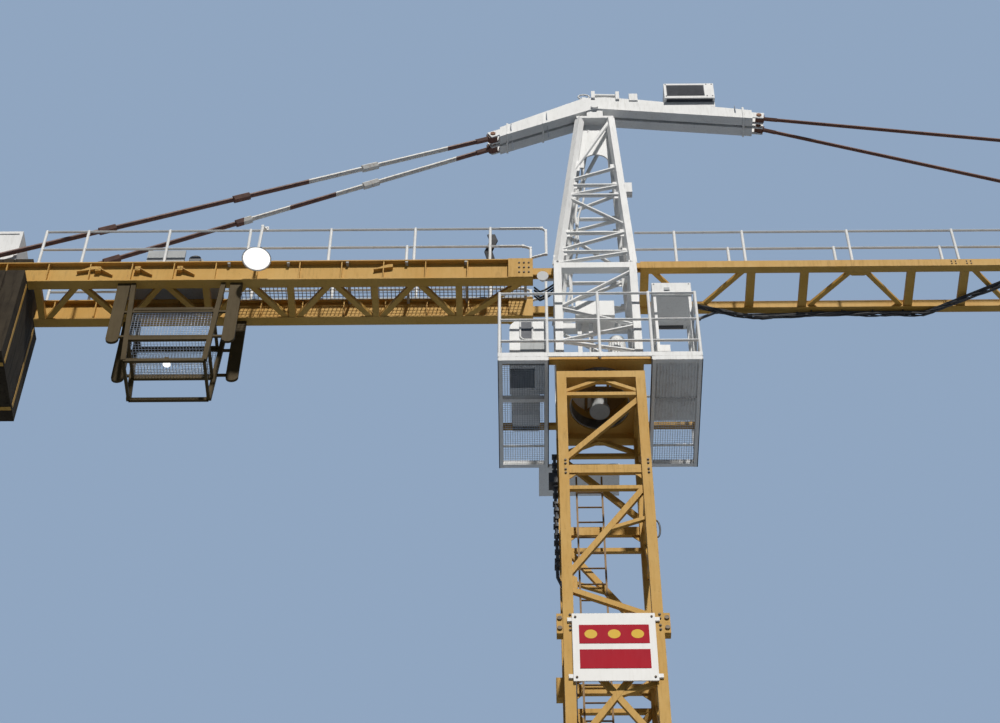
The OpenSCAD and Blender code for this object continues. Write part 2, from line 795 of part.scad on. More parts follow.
// Side platform: a frame of channels with its floor
module platform(s) {
    l = platform_y1 - platform_y0;
    z = floor_z - 90;
    color(white) union() {
        for (x = [platform_in, platform_out - 60])
            translate([s > 0 ? x : -x - 60, platform_y0, z]) cube([60, l, 90]);
        for (y = [platform_y0, -40, platform_y1 - 60])
            translate([s > 0 ? platform_in : -platform_out, y, z + 4])
                cube([floor_w, 60, 84]);
        translate([s > 0 ? platform_in + 30 : -platform_out + 30, platform_y0 + 30, z + 82])
            cube([floor_w - 60, l - 60, 8]);
        // Solid tray under the near part on the jib side, rear landing on the other
        if (s > 0) translate([platform_in + 10, platform_y0 + 10, z + 6])
            cube([floor_w - 20, 1080, 16]);
        if (s < 0) {
            translate([-840, platform_y1 - 20, z + 20]) cube([1140, 560, 40]);
            for (x = [-820, 220]) translate([x, platform_y1, z + 50])
                cube([40, 540, 30]);
        }
    }
}

module platform_rail() {
    x = platform_out - rail_d / 2;
    y0 = platform_y0 + rail_d / 2;
    y1 = platform_y1 - rail_d / 2;
    heights = [guard_h, guard_h * 0.58, guard_h * 0.25];
    color(white) union() {
        for (h = heights) {
            tube([-x, y0, floor_z + h], [x, y0, floor_z + h], rail_d);
            for (s = [-1, 1]) {
                tube([s * x, y0, floor_z + h], [s * x, y1, floor_z + h], rail_d);
                tube([s * x, y1, floor_z + h], [s * (platform_in + 20), y1, floor_z + h], rail_d);
            }
        }
        for (px = [-x, -platform_in - 20, 0, platform_in + 20, x]) post(px, y0, floor_z, guard_h + 22);
        for (s = [-1, 1]) {
            for (y = [(y0 + y1) / 2, y1]) post(s * x, y, floor_z, guard_h + 22);
            post(s * (platform_in + 20), y1, floor_z, guard_h + 22);
        }
        // Toe board across the front
        translate([-platform_out, platform_y0, floor_z]) cube([2 * platform_out, 16, 90]);
    }
}

// Slewing drive beside the head: motor on a gearbox
module slewing_motor() {
    color(white) translate([-1060, -330, floor_z]) union() {
        translate([-170, -170, 0]) cube([340, 340, 260]);
        cylinder(r = 150, h = 700, $fn = 48);
        translate([0, 0, 700]) rotate_extrude($fn = 48) intersection() {
            circle(r = 150, $fn = 48);
            square(150);
        }
    }
}

// Inner edge, length along the jib and height of the control cabinet
box_in = 800;
box_l = 560;
stand_h = 1700;

// Control cabinet on a stand over the platform on the jib side
module control_box() {
    x = box_in;
    z = floor_z + stand_h;
    color(white) union() {
        translate([x, -520, z]) cube([box_l, 620, 290]);
        for (px = [x + 10, x + 510], py = [-500, 40])
            translate([px, py, floor_z]) cube([40, 40, stand_h + 10]);
        for (pz = [floor_z + 700, floor_z + 1250], px = [x + 10, x + 510])
            translate([px + 5, -480, pz]) cube([30, 540, 40]);
    }
}

base_plate();
mast_section(1);  // mast_section_1
mast_section(2);  // mast_section_2
mast_section(3);  // mast_section_3
mast_section(4);  // mast_section_4
mast_section(5, true);  // mast_section_5
mast_section(6);  // mast_section_6
slewing_support();
slewing_ring_lower();
mast_ladder();
sign_plate();
slewing_ring_upper();
turning_frame();
head_lower();
head_upper();
apex_rocker();
apex_box();
jib_section(1);  // jib_section_1
jib_section(2);  // jib_section_2
jib_section(3);  // jib_section_3
jib_section(4);  // jib_section_4
jib_section(5);  // jib_section_5
jib_section(6);  // jib_section_6
jib_handrail();
jib_tie_outer();
jib_tie_inner();
jib_cable();
counter_jib_frame();
counter_handrail();
counter_tie(-1);  // counter_tie_near
counter_tie(1);  // counter_tie_far
counterweight(1);  // counterweight_1
counterweight(2);  // counterweight_2
counterweight(3);  // counterweight_3
tail_box();
hoist_winch();
service_cage();
floodlight();
platform(-1);  // platform_left
platform(1);  // platform_right
platform_rail();
slewing_motor();
control_box();
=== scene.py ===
"""Looks of the tower crane: materials, fine metalwork, mesh floors, cables, lights and camera."""

import math
import random

import bmesh
import bpy
from mathutils import Matrix, Vector


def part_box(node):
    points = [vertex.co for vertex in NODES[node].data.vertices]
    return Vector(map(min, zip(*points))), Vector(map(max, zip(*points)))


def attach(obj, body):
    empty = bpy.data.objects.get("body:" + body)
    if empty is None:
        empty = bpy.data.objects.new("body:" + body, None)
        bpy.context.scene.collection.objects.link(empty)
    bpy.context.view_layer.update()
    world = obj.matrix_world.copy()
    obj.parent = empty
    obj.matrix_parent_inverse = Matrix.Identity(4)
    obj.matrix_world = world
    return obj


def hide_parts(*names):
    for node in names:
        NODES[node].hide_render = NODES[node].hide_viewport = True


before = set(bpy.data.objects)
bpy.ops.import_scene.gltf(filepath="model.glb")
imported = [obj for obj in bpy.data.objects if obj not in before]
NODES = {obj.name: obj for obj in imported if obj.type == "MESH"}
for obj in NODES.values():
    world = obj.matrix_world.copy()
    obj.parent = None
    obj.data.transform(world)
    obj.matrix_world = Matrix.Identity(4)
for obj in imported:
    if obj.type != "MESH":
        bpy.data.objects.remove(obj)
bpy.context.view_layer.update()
rng = random.Random(12)

# Levels and sizes of the frame, in metres

HALF = 0.6  # half the mast's width
SECTIONS = 6
SECTION_H = 2.91
BASE_T = 0.06  # top of the foot plate
LEG_C = 0.535  # middle of a mast leg, from the axis
FLOOR_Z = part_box("turning_frame")[0][2]
HEAD_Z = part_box("head_lower")[0][2]
UPPER_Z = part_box("head_upper")[0][2]
GIRDER_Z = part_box("counter_jib_frame")[0][2]
GIRDER_TOP = GIRDER_Z + 0.48
JIB_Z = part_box("jib_section_1")[0][2]
COUNTER_Y = 0.416  # outer face of a counter-jib girder

CORNERS = [(sx, sy) for sx in (-1, 1) for sy in (-1, 1)]


def round_step(step, steps):
    """Cosine and sine after so many of the steps of a full turn."""
    angle = 2 * math.pi * step / steps
    return math.cos(angle), math.sin(angle)


# Camera at the photograph's viewing angle

CAM_PLACE = (-1.056, -19.68, -5.52)
CAM_PITCH = math.radians(52.97)
CAM_YAW = math.radians(0.94)
CAM_ROLL = math.radians(0.34)
FOCAL_PX = 2315.0
IMAGE_W = 1000.0
SENSOR_MM = 36.0


def make_camera():
    """Camera in front of the mast and lower than its foot, which looks up."""
    cam = bpy.data.cameras.new("camera")
    cam.sensor_width = SENSOR_MM
    cam.lens = SENSOR_MM * FOCAL_PX / IMAGE_W
    cam.clip_end = 500.0
    obj = bpy.data.objects.new("camera", cam)
    turn = (Matrix.Rotation(CAM_YAW, 4, "Z") @ Matrix.Rotation(math.pi / 2 + CAM_PITCH, 4, "X")
            @ Matrix.Rotation(CAM_ROLL, 4, "Z"))
    obj.matrix_world = Matrix.Translation(CAM_PLACE) @ turn
    bpy.context.collection.objects.link(obj)
    bpy.context.scene.camera = obj


# Materials

class Maker:
    """Small helper that adds and links nodes in one material."""

    def __init__(self, name):
        self.mat = bpy.data.materials.new(name)
        self.mat.use_nodes = True
        self.tree = self.mat.node_tree
        self.shader = self.tree.nodes["Principled BSDF"]
        coords = self.tree.nodes.new("ShaderNodeTexCoord")
        self.place = coords.outputs["Object"]

    def add(self, kind, **values):
        """New node; each value goes to the input of that name, or else to the node's setting."""
        node = self.tree.nodes.new(kind)
        for key, value in values.items():
            if key in node.inputs:
                node.inputs[key].default_value = value
            else:
                setattr(node, key, value)
        return node

    def link(self, a, b):
        self.tree.links.new(a, b)

    def calc(self, operation, a, b):
        """Result of a math node; b may be a number."""
        node = self.add("ShaderNodeMath", operation=operation)
        self.link(a, node.inputs[0])
        if isinstance(b, float):
            node.inputs[1].default_value = b
        else:
            self.link(b, node.inputs[1])
        return node.outputs[0]

    def times(self, a, b):
        return self.calc("MULTIPLY", a, b)

    def noise(self, scale, detail=6.0, rough=0.6, stretch=None):
        """Noise over the object's own coordinates, which stretch may scale for each axis."""
        node = self.add("ShaderNodeTexNoise", Scale=scale, Detail=detail, Roughness=rough)
        source = self.place
        if stretch:
            mapping = self.add("ShaderNodeMapping")
            mapping.inputs["Scale"].default_value = stretch
            self.link(source, mapping.inputs["Vector"])
            source = mapping.outputs["Vector"]
        self.link(source, node.inputs["Vector"])
        return node.outputs["Fac"]

    def ramp(self, source, low, high, a=(0, 0, 0, 1), b=(1, 1, 1, 1)):
        """From color a at the low value to color b at the high one."""
        node = self.add("ShaderNodeValToRGB")
        node.color_ramp.elements[0].position = low
        node.color_ramp.elements[1].position = high
        node.color_ramp.elements[0].color = a
        node.color_ramp.elements[1].color = b
        self.link(source, node.inputs["Fac"])
        return node.outputs["Color"]

    def mix(self, factor, a, b):
        """Color between a and b; each of the three is a socket or a plain value."""
        node = self.add("ShaderNodeMix", data_type="RGBA")
        sockets = (node.inputs["Factor"], node.inputs[6], node.inputs[7])
        for socket, value in zip(sockets, (factor, a, b)):
            if isinstance(value, (float, int, tuple)):
                socket.default_value = value
            else:
                self.link(value, socket)
        return node.outputs[2]

    def edges(self, width):
        """Bright where a surface lies close to one of its own convex edges."""
        bevel = self.add("ShaderNodeBevel", samples=4)
        bevel.inputs["Radius"].default_value = width
        geo = self.add("ShaderNodeNewGeometry")
        dot = self.add("ShaderNodeVectorMath", operation="DOT_PRODUCT")
        self.link(bevel.outputs["Normal"], dot.inputs[0])
        self.link(geo.outputs["Normal"], dot.inputs[1])
        return self.ramp(dot.outputs["Value"], 0.86, 0.995, (1, 1, 1, 1), (0, 0, 0, 1))

    def bump(self, height, strength, distance):
        node = self.add("ShaderNodeBump")
        node.inputs["Strength"].default_value = strength
        node.inputs["Distance"].default_value = distance
        self.link(height, node.inputs["Height"])
        self.link(node.outputs["Normal"], self.shader.inputs["Normal"])

    def dull(self, level):
        """Weaker mirror reflection than the shader's usual one."""
        self.shader.inputs["Specular IOR Level"].default_value = level

    def finish(self, color, rough_low, rough_high, rough_source, metallic=0.0):
        """Links color and roughness, the latter spread between two values by its source."""
        self.link(color, self.shader.inputs["Base Color"])
        span = self.add("ShaderNodeMapRange")
        span.inputs["To Min"].default_value = rough_low
        span.inputs["To Max"].default_value = rough_high
        self.link(rough_source, span.inputs["Value"])
        self.link(span.outputs["Result"], self.shader.inputs["Roughness"])
        self.shader.inputs["Metallic"].default_value = metallic
        return self.mat


# Colors that several materials or shaders share; a pair is blended by noise

CHIP_RUST = (0.105, 0.042, 0.02, 1)
EDGE_RUST = (0.12, 0.055, 0.028, 1)
PIT_RUST = (0.05, 0.02, 0.015, 1)
TIE_BROWNS = ((0.085, 0.034, 0.024, 1), (0.17, 0.072, 0.045, 1))
TIE_WHITES = ((0.74, 0.74, 0.72, 1), (0.45, 0.36, 0.3, 1))
# Near-black browns of the ballast: painted shade over the concrete's own colour.
SHADED_STONE_BROWNS = ((0.028, 0.021, 0.014, 1), (0.055, 0.043, 0.028, 1))
STONE_STAIN = (0.018, 0.013, 0.009, 1)


def paint(name, color, faded, dirt, rust_amount, dirt_amount, gloss=0.2, edge_width=0.012):
    """Weathered paint: faded patches, dirt streaks that run down, rust at chips and edges."""
    m = Maker(name)
    base = m.mix(m.ramp(m.noise(1.3, 5.0), 0.35, 0.7), color, faded)
    streaks = m.noise(5.0, 7.0, 0.65, (6.0, 6.0, 0.7))
    patches = m.noise(0.9, 4.0)
    grime = m.times(m.ramp(streaks, 0.5, 0.78), m.ramp(patches, 0.35, 0.75))
    base = m.mix(m.times(grime, dirt_amount), base, dirt)
    fine = m.noise(38.0, 6.0, 0.7)
    chips = m.times(m.ramp(fine, 0.63, 0.67), m.ramp(m.noise(2.1, 3.0), 0.45, 0.62))
    base = m.mix(m.times(chips, rust_amount), base, CHIP_RUST)
    worn = m.times(m.edges(edge_width), m.ramp(m.noise(9.0, 5.0), 0.5, 0.64))
    base = m.mix(m.times(worn, rust_amount), base, EDGE_RUST)
    m.bump(m.noise(160.0, 3.0), 0.12, 0.002)
    m.dull(gloss)
    return m.finish(base, 0.5, 0.75, streaks)


def rusty(name, color, other):
    """Bare rust in two browns, with dark pits."""
    m = Maker(name)
    base = m.mix(m.ramp(m.noise(11.0, 8.0, 0.7), 0.35, 0.68), color, other)
    base = m.mix(m.ramp(m.noise(60.0, 5.0), 0.6, 0.75), base, PIT_RUST)
    m.bump(m.noise(90.0, 6.0), 0.4, 0.004)
    return m.finish(base, 0.7, 0.92, m.noise(20.0))


def banded_tie(name, bands):
    """Tie bar painted white over some stretches of x and left brown elsewhere."""
    m = Maker(name)
    split = m.add("ShaderNodeSeparateXYZ")
    m.link(m.place, split.inputs["Vector"])
    x = split.outputs["X"]
    white = None
    for low, high in bands:
        band = m.times(m.calc("GREATER_THAN", x, low), m.calc("LESS_THAN", x, high))
        white = band if white is None else m.calc("MAXIMUM", white, band)
    brown = m.mix(m.ramp(m.noise(9.0, 7.0), 0.35, 0.7), *TIE_BROWNS)
    pale = m.mix(m.ramp(m.noise(24.0, 6.0), 0.52, 0.72), *TIE_WHITES)
    m.bump(m.noise(80.0), 0.2, 0.003)
    return m.finish(m.mix(white, brown, pale), 0.5, 0.8, m.noise(15.0))


def steel(name, color, other, low=0.35, high=0.6, metallic=0.7):
    """Bare metal in two greys, with a roughness from low to high."""
    m = Maker(name)
    base = m.mix(m.ramp(m.noise(7.0, 6.0), 0.35, 0.7), color, other)
    m.bump(m.noise(70.0), 0.15, 0.002)
    return m.finish(base, low, high, m.noise(12.0), metallic)


def concrete(name):
    """Concrete darkened to a near-black brown as painted shade, stained in streaks that run down.
    """
    m = Maker(name)
    base = m.mix(m.ramp(m.noise(2.4, 8.0, 0.7), 0.3, 0.7), *SHADED_STONE_BROWNS)
    stains = m.noise(3.0, 7.0, 0.6, (5.0, 5.0, 0.5))
    base = m.mix(m.ramp(stains, 0.5, 0.7), base, STONE_STAIN)
    m.dull(0.1)
    m.bump(m.noise(46.0, 10.0, 0.75), 0.5, 0.006)
    return m.finish(base, 0.78, 0.95, stains)


def plain(name, color, low, high, metallic=0.0):
    """One color with darker patches, and a roughness from low to high."""
    m = Maker(name)
    other = tuple(0.72 * c for c in color[:3]) + (1,)
    base = m.mix(m.ramp(m.noise(14.0), 0.4, 0.7), color, other)
    m.bump(m.noise(120.0), 0.1, 0.001)
    return m.finish(base, low, high, m.noise(10.0), metallic)


OCHRE = paint("ochre_paint", (0.50, 0.285, 0.06, 1), (0.55, 0.345, 0.10, 1),
              (0.13, 0.08, 0.035, 1), 0.75, 0.7, 0.12)
# Cage ochre kept far darker than the frame's ochre: painted shade of the girders over the cage.
SHADED_CAGE_OCHRE = paint("cage_ochre_painted_shade", (0.060, 0.041, 0.015, 1), (0.085, 0.060, 0.024, 1),
                   (0.022, 0.015, 0.008, 1), 0.6, 0.7, 0.08)
# Darker, aged ochre; on the ladder inside the mast its darkness is painted shade.
AGED_AND_SHADED_OCHRE = paint("aged_and_shaded_ochre", (0.22, 0.125, 0.04, 1), (0.28, 0.17, 0.07, 1),
                  (0.06, 0.035, 0.02, 1), 0.9, 0.8)
WHITE = paint("white_paint", (0.80, 0.81, 0.81, 1), (0.70, 0.715, 0.72, 1),
              (0.30, 0.27, 0.23, 1), 0.55, 0.55)
GREY = paint("grey_paint", (0.40, 0.42, 0.43, 1), (0.32, 0.34, 0.35, 1),
             (0.12, 0.11, 0.1, 1), 0.4, 0.6)
FORK = rusty("fork_rust", (0.13, 0.055, 0.03, 1), (0.3, 0.13, 0.06, 1))
BACK_NEAR = banded_tie("back_tie_near", ((-4.37, -2.23),))
BACK_FAR = banded_tie("back_tie_far", ((-3.98, -2.10), (-5.37, -4.68)))
FRONT_TIE = rusty("front_tie", (0.11, 0.045, 0.03, 1), (0.2, 0.09, 0.055, 1))
STEEL = steel("bearing_steel", (0.27, 0.27, 0.265, 1), (0.12, 0.11, 0.1, 1))
ZINC = steel("zinc", (0.5, 0.5, 0.5, 1), (0.36, 0.36, 0.36, 1), 0.3, 0.5, 0.85)
BOLT = plain("bolt", (0.13, 0.095, 0.06, 1), 0.55, 0.8, 0.3)
PANEL = plain("panel_grey", (0.055, 0.062, 0.08, 1), 0.6, 0.8)
DARK = plain("dark_housing", (0.035, 0.036, 0.04, 1), 0.4, 0.7)
BLACK = plain("cable_black", (0.018, 0.018, 0.02, 1), 0.5, 0.75)
CONCRETE = concrete("concrete")
RED = paint("sign_red", (0.40, 0.008, 0.022, 1), (0.36, 0.014, 0.030, 1),
            (0.2, 0.03, 0.03, 1), 0.1, 0.35, 0.04)
YELLOW = paint("sign_yellow", (0.72, 0.47, 0.05, 1), (0.66, 0.45, 0.1, 1),
               (0.3, 0.2, 0.06, 1), 0.1, 0.4, 0.04)
SIGN_WHITE = paint("sign_white", (0.82, 0.82, 0.81, 1), (0.76, 0.76, 0.74, 1),
                   (0.5, 0.45, 0.38, 1), 0.15, 0.35)
REFLECTOR = plain("reflector", (0.9, 0.9, 0.88, 1), 0.12, 0.25)
# Lamp glow on the lamp faces, turned up to stand in for the sun's reflection on the floodlight:
# painted reflection.
glow = REFLECTOR.node_tree.nodes["Principled BSDF"].inputs
glow["Emission Color"].default_value = (1.0, 0.98, 0.94, 1)
glow["Emission Strength"].default_value = 1.1


def dress(names, material):
    """Gives one material to the named CAD nodes."""
    for name in names:
        for slot in NODES[name].material_slots:
            slot.material = material


def dress_frame():
    """Gives every CAD node its material."""
    dress([n for n in NODES if n.startswith(("mast_section", "jib_section"))], OCHRE)
    dress(["base_plate", "slewing_support", "turning_frame", "counter_jib_frame",
           "service_cage"], OCHRE)
    dress(["head_lower", "head_upper", "apex_rocker", "apex_box", "jib_handrail",
           "counter_handrail", "tail_box", "platform_left", "platform_right", "platform_rail",
           "slewing_motor", "control_box", "floodlight"], WHITE)
    dress(["slewing_ring_lower", "slewing_ring_upper"], STEEL)
    dress(["hoist_winch"], GREY)
    # The ladder gets the darker ochre as painted shade inside the mast.
    dress(["mast_ladder"], AGED_AND_SHADED_OCHRE)
    dress(["counter_tie_near"], BACK_NEAR)
    dress(["counter_tie_far"], BACK_FAR)
    dress(["jib_tie_outer", "jib_tie_inner"], FRONT_TIE)
    dress(["counterweight_1", "counterweight_2", "counterweight_3"], CONCRETE)
    dress(["jib_cable"], BLACK)
    dress(["sign_plate"], SIGN_WHITE)


# Mesh building

class Piece:
    """One mesh that grows by boxes, rods and bars, then rides on a body."""

    def __init__(self, name, body, material, slot):
        self.name = name
        self.body = body
        self.material = material
        self.slot = slot
        self.bm = bmesh.new()

    def box(self, low, high):
        """Upright box between two corners."""
        low = Vector(low)
        high = Vector(high)
        size = high - low
        middle = (high + low) / 2
        for v in bmesh.ops.create_cube(self.bm, size=1.0)["verts"]:
            v.co = Vector((v.co.x * size.x, v.co.y * size.y, v.co.z * size.z)) + middle

    def rod(self, a, b, radius, sides=8, end_radius=None):
        """Round or many-sided rod from a to b; an end radius makes it a cone."""
        a = Vector(a)
        b = Vector(b)
        span = b - a
        end = radius if end_radius is None else end_radius
        made = bmesh.ops.create_cone(self.bm, cap_ends=True, segments=sides, radius1=radius,
                                     radius2=end, depth=span.length)["verts"]
        turn = span.to_track_quat("Z", "Y").to_matrix().to_4x4()
        place = Matrix.Translation((a + b) / 2) @ turn
        bmesh.ops.transform(self.bm, matrix=place, verts=made)

    def bar(self, a, b, width, thick):
        """Flat bar from a to b, thick sideways and wide square to that."""
        a = Vector(a)
        b = Vector(b)
        span = b - a
        made = bmesh.ops.create_cube(self.bm, size=1.0)["verts"]
        side = Vector((-span.y, span.x, 0.0))
        side = side.normalized() if side.length > 1e-6 else Vector((0, 1, 0))
        along = span.normalized()
        up = along.cross(side).normalized()
        turn = Matrix((along, side, up)).transposed().to_4x4()
        scale = Matrix.Diagonal((span.length, thick, width, 1.0))
        place = Matrix.Translation((a + b) / 2) @ turn @ scale
        bmesh.ops.transform(self.bm, matrix=place, verts=made)

    def path(self, points, radius, sides=8):
        """Rods through the points, with a ball at each bend."""
        for a, b in zip(points, points[1:]):
            self.rod(a, b, radius, sides)
            self.ball(b, radius, sides)

    def ball(self, place, radius, sides):
        made = bmesh.ops.create_uvsphere(self.bm, u_segments=sides, v_segments=max(4, sides // 2),
                                         radius=radius)["verts"]
        bmesh.ops.translate(self.bm, verts=made, vec=Vector(place))

    def bolt(self, place, axis, radius):
        """Hexagon head with a washer, standing on a surface."""
        place = Vector(place)
        axis = Vector(axis).normalized()
        self.rod(place, place + axis * radius * 0.25, radius * 1.35, 12)
        self.rod(place + axis * radius * 0.25, place + axis * radius * 1.1, radius, 6)

    def done(self, *replaced):
        """Makes the object, which rides on its body in place of the nodes named here."""
        mesh = bpy.data.meshes.new(self.name)
        bmesh.ops.recalc_face_normals(self.bm, faces=self.bm.faces)
        self.bm.to_mesh(mesh)
        self.bm.free()
        mesh.materials.append(self.material)
        obj = bpy.data.objects.new(self.name, mesh)
        bpy.context.collection.objects.link(obj)
        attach(obj, self.body)
        for node in replaced:
            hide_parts(node)


def wire_grid(piece, u_range, v_range, level, step, radius, plane="xy"):
    """Woven mesh of thin square wires; plane says which two axes it lies along."""
    def place(u, v, w):
        return (u, v, w) if plane == "xy" else (u, w, v)

    over = level + radius
    u = u_range[0]
    while u <= u_range[1] + 1e-6:
        piece.rod(place(u, v_range[0], level), place(u, v_range[1], level), radius, 4)
        u += step
    v = v_range[0]
    while v <= v_range[1] + 1e-6:
        piece.rod(place(u_range[0], v, over), place(u_range[1], v, over), radius, 4)
        v += step


# Mast: bolts, gussets, cable and sign

def mast_bolts():
    """Bolts and pins at the section joints, and the four anchors of the foot."""
    p = Piece("mast_bolts", "mast", BOLT, "grey_steel")
    pin_x = 0.64
    anchor = 0.79
    for k in range(1, SECTIONS + 1):
        joint = BASE_T + k * SECTION_H
        for sx, sy in CORNERS:
            for dz in (-0.13, -0.06, 0.06, 0.13):
                p.bolt((sx * LEG_C + 0.02, sy * HALF, joint + dz), (0, sy, 0), 0.014)
            if k < SECTIONS:
                for z in (joint - 0.085, joint + 0.085):
                    p.rod((sx * pin_x, sy * 0.585, z), (sx * pin_x, sy * 0.601, z), 0.03, 16)
    for sx, sy in CORNERS:
        x = sx * anchor
        y = sy * anchor
        washer_top = BASE_T + 0.012
        p.rod((x, y, BASE_T), (x, y, BASE_T + 0.12), 0.02, 16)
        p.rod((x, y, BASE_T), (x, y, washer_top), 0.05, 20)
        p.rod((x, y, washer_top), (x, y, BASE_T + 0.05), 0.036, 6)
    p.done()


def gusset(piece, outline, y):
    """Thin triangular plate that stands in XZ at the given y."""
    verts = [piece.bm.verts.new((x, y + o, z)) for o in (-0.005, 0.005) for x, z in outline]
    for face in ((0, 1, 2), (5, 4, 3), (0, 3, 4, 1), (1, 4, 5, 2), (2, 5, 3, 0)):
        piece.bm.faces.new([verts[i] for i in face])


def mast_gussets():
    """Small gusset plates at the corners of the section frames, and the foot's stiffeners."""
    p = Piece("mast_gussets", "mast", OCHRE, "ochre_paint")
    inner = HALF - 0.13  # inner face of a leg
    reach = 0.11
    frame_y = 0.54
    frame_h = 0.08
    for k in range(SECTIONS):
        low = BASE_T + k * SECTION_H
        for sx in (-1, 1):
            for z, up in ((low + frame_h, 1), (low + SECTION_H - frame_h, -1)):
                outline = ((sx * inner, z), (sx * (inner - reach), z), (sx * inner, z + up * reach))
                for sy in (-1, 1):
                    gusset(p, outline, sy * frame_y)
    for sx, sy in CORNERS:
        for dx, dy in ((0.12, 0), (0, 0.12)):
            x = sx * (HALF - 0.065 + dx)
            y = sy * (HALF - 0.065 + dy)
            half = (0.06, 0.008) if dx else (0.008, 0.06)
            p.box((x - half[0], y - half[1], BASE_T), (x + half[0], y + half[1], BASE_T + 0.2))
    p.done()


def mast_cables():
    """Power cable, inside the mast and then outside its left face; a spare loop on the right."""
    p = Piece("mast_cable", "mast", BLACK, "black_cable")
    inside = (-0.44, 0.42)
    inside_top = 15.6
    outside_z = (16.6, 19.0)
    route = [(*inside, BASE_T + 0.05)]
    z = BASE_T + 0.8
    while z < inside_top:
        route.append((inside[0] + rng.uniform(-0.012, 0.012),
                      inside[1] + rng.uniform(-0.008, 0.008), z))
        z += 0.7
    route += [(-0.50, 0.40, 16.1), (-0.63, 0.36, 16.45)]
    outside = len(route)
    z = outside_z[0]
    while z < outside_z[1]:
        route.append((-0.632 + rng.uniform(-0.006, 0.006), 0.34 + rng.uniform(-0.02, 0.02), z))
        z += 0.16
    p.path(route, 0.022)
    for x, y, z in route[1:outside - 2:2]:
        p.box((x - 0.04, y - 0.02, z - 0.015), (x + 0.02, y + 0.06, z + 0.015))
    for x, y, z in route[outside:]:
        p.box((x - 0.035, y - 0.035, z - 0.02), (x + 0.035, y + 0.035, z + 0.02))
    p.box((-0.72, 0.28, 18.25), (-0.60, 0.42, 18.45))
    loop_z = 16.4
    loop = []
    steps = 24
    for i in range(steps + 1):
        angle = math.pi * i / steps
        loop.append((0.605 + 0.045 * math.sin(angle), -0.5, loop_z + 0.16 * math.cos(angle)))
    p.path(loop, 0.012, 6)
    p.done()


def sign_face():
    """Generic sign: two red bands on the white board, the upper one with a row of yellow discs."""
    low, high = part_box("sign_plate")
    board = low[1] + 0.001
    y = low[1] - 0.003
    half = 0.495  # half the board's width, without its clamps
    margin = 0.08
    extra = 0.12  # more white over and under the bands than at their sides
    cx = (low[0] + high[0]) / 2
    x0 = cx - half + margin
    x1 = cx + half - margin
    z0 = low[2] + margin + extra
    z1 = high[2] - margin - extra
    mid = (z0 + z1) / 2
    gap = 0.05
    red = Piece("sign_field", "mast", RED, "white_paint")
    red.box((x0, y, mid + gap), (x1, board, z1))
    red.box((x0, y, z0), (x1, board, mid - gap))
    red.done()
    disc = Piece("sign_discs", "mast", YELLOW, "white_paint")
    disc_z = (mid + gap + z1) / 2
    for i in range(3):
        x = x0 + (x1 - x0) * (i + 0.5) / 3
        disc.rod((x, y - 0.001, disc_z), (x, board, disc_z), 0.075, 40)
    disc.done()
    trim = Piece("sign_trim", "mast", BOLT, "grey_steel")
    for sx in (-1, 1):
        for z in (low[2] + 0.06, high[2] - 0.06):
            trim.bolt((cx + sx * 0.455, low[1], z), (0, -1, 0), 0.012)
    trim.done()


# Slewing gear and head

def ring_bolts():
    """Bolts of the slewing ring, and those on the turning frame's sides."""
    p = Piece("ring_bolts", "upperworks", ZINC, "grey_steel")
    low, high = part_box("slewing_ring_upper")
    count = 48
    circle = 0.5
    for i in range(count):
        c, s = round_step(i + 0.5, count)
        place = (circle * c, circle * s, low[2] + (high[2] - low[2]) / 2)
        p.rod(place, (place[0], place[1], place[2] - 0.025), 0.011, 6)
    for sx, sy in CORNERS:
        for dx in (-0.12, 0.12):
            p.bolt((sx * 0.5 + dx * 0.35, sy * 0.6, FLOOR_Z + 0.08), (0, sy, 0), 0.014)
    p.done()


HEAD_H = 4.85  # from the feet of the upper head's legs to their tops
HEAD_FOOT = 0.545
HEAD_TOP_X = 0.145  # the tops lie to the right of the axis
HEAD_TOP_HALF = (0.245, 0.095)


def leg_at(sx, sy, z):
    """Middle of a leg of the upper head at height z over its foot."""
    k = z / HEAD_H
    x = sx * HEAD_FOOT + k * (HEAD_TOP_X + sx * HEAD_TOP_HALF[0] - sx * HEAD_FOOT)
    y = sy * HEAD_FOOT + k * (sy * HEAD_TOP_HALF[1] - sy * HEAD_FOOT)
    return Vector((x, y, UPPER_Z + z))


def head_gussets():
    """Plates where the head's lattice meets its legs, and the lamp's bracket."""
    p = Piece("head_gussets", "upperworks", WHITE, "white_paint")
    for z in (0.4, 0.97, 2.17, 2.5, 3.1):
        for sx, sy in CORNERS:
            leg = leg_at(sx, sy, z)
            x0, x1 = sorted((leg.x, (leg + Vector((-sx * 0.075, 0, 0))).x))
            p.box((x0 - 0.04, leg.y - 0.006, leg.z - 0.09),
                  (x1 + 0.04, leg.y + 0.006, leg.z + 0.09))
    leg = leg_at(1, -1, 2.35)
    p.box((leg.x + 0.05, leg.y - 0.05, leg.z - 0.13), (leg.x + 0.17, leg.y + 0.06, leg.z + 0.13))
    p.done()


def head_cables():
    """Two cables that climb beside the far left leg."""
    p = Piece("head_cables", "upperworks", WHITE, "white_paint")
    for offset, radius in ((0.0, 0.022), (0.05, 0.016)):
        points = []
        for i in range(13):
            leg = leg_at(-1, 1, 0.3 + i * 0.36)
            sway = 0.035 * math.sin(i * 1.7 + offset * 30)
            points.append((leg.x + 0.12 + offset + sway, leg.y - 0.10 - 0.5 * sway, leg.z))
        p.path(points, radius, 6)
    p.done()


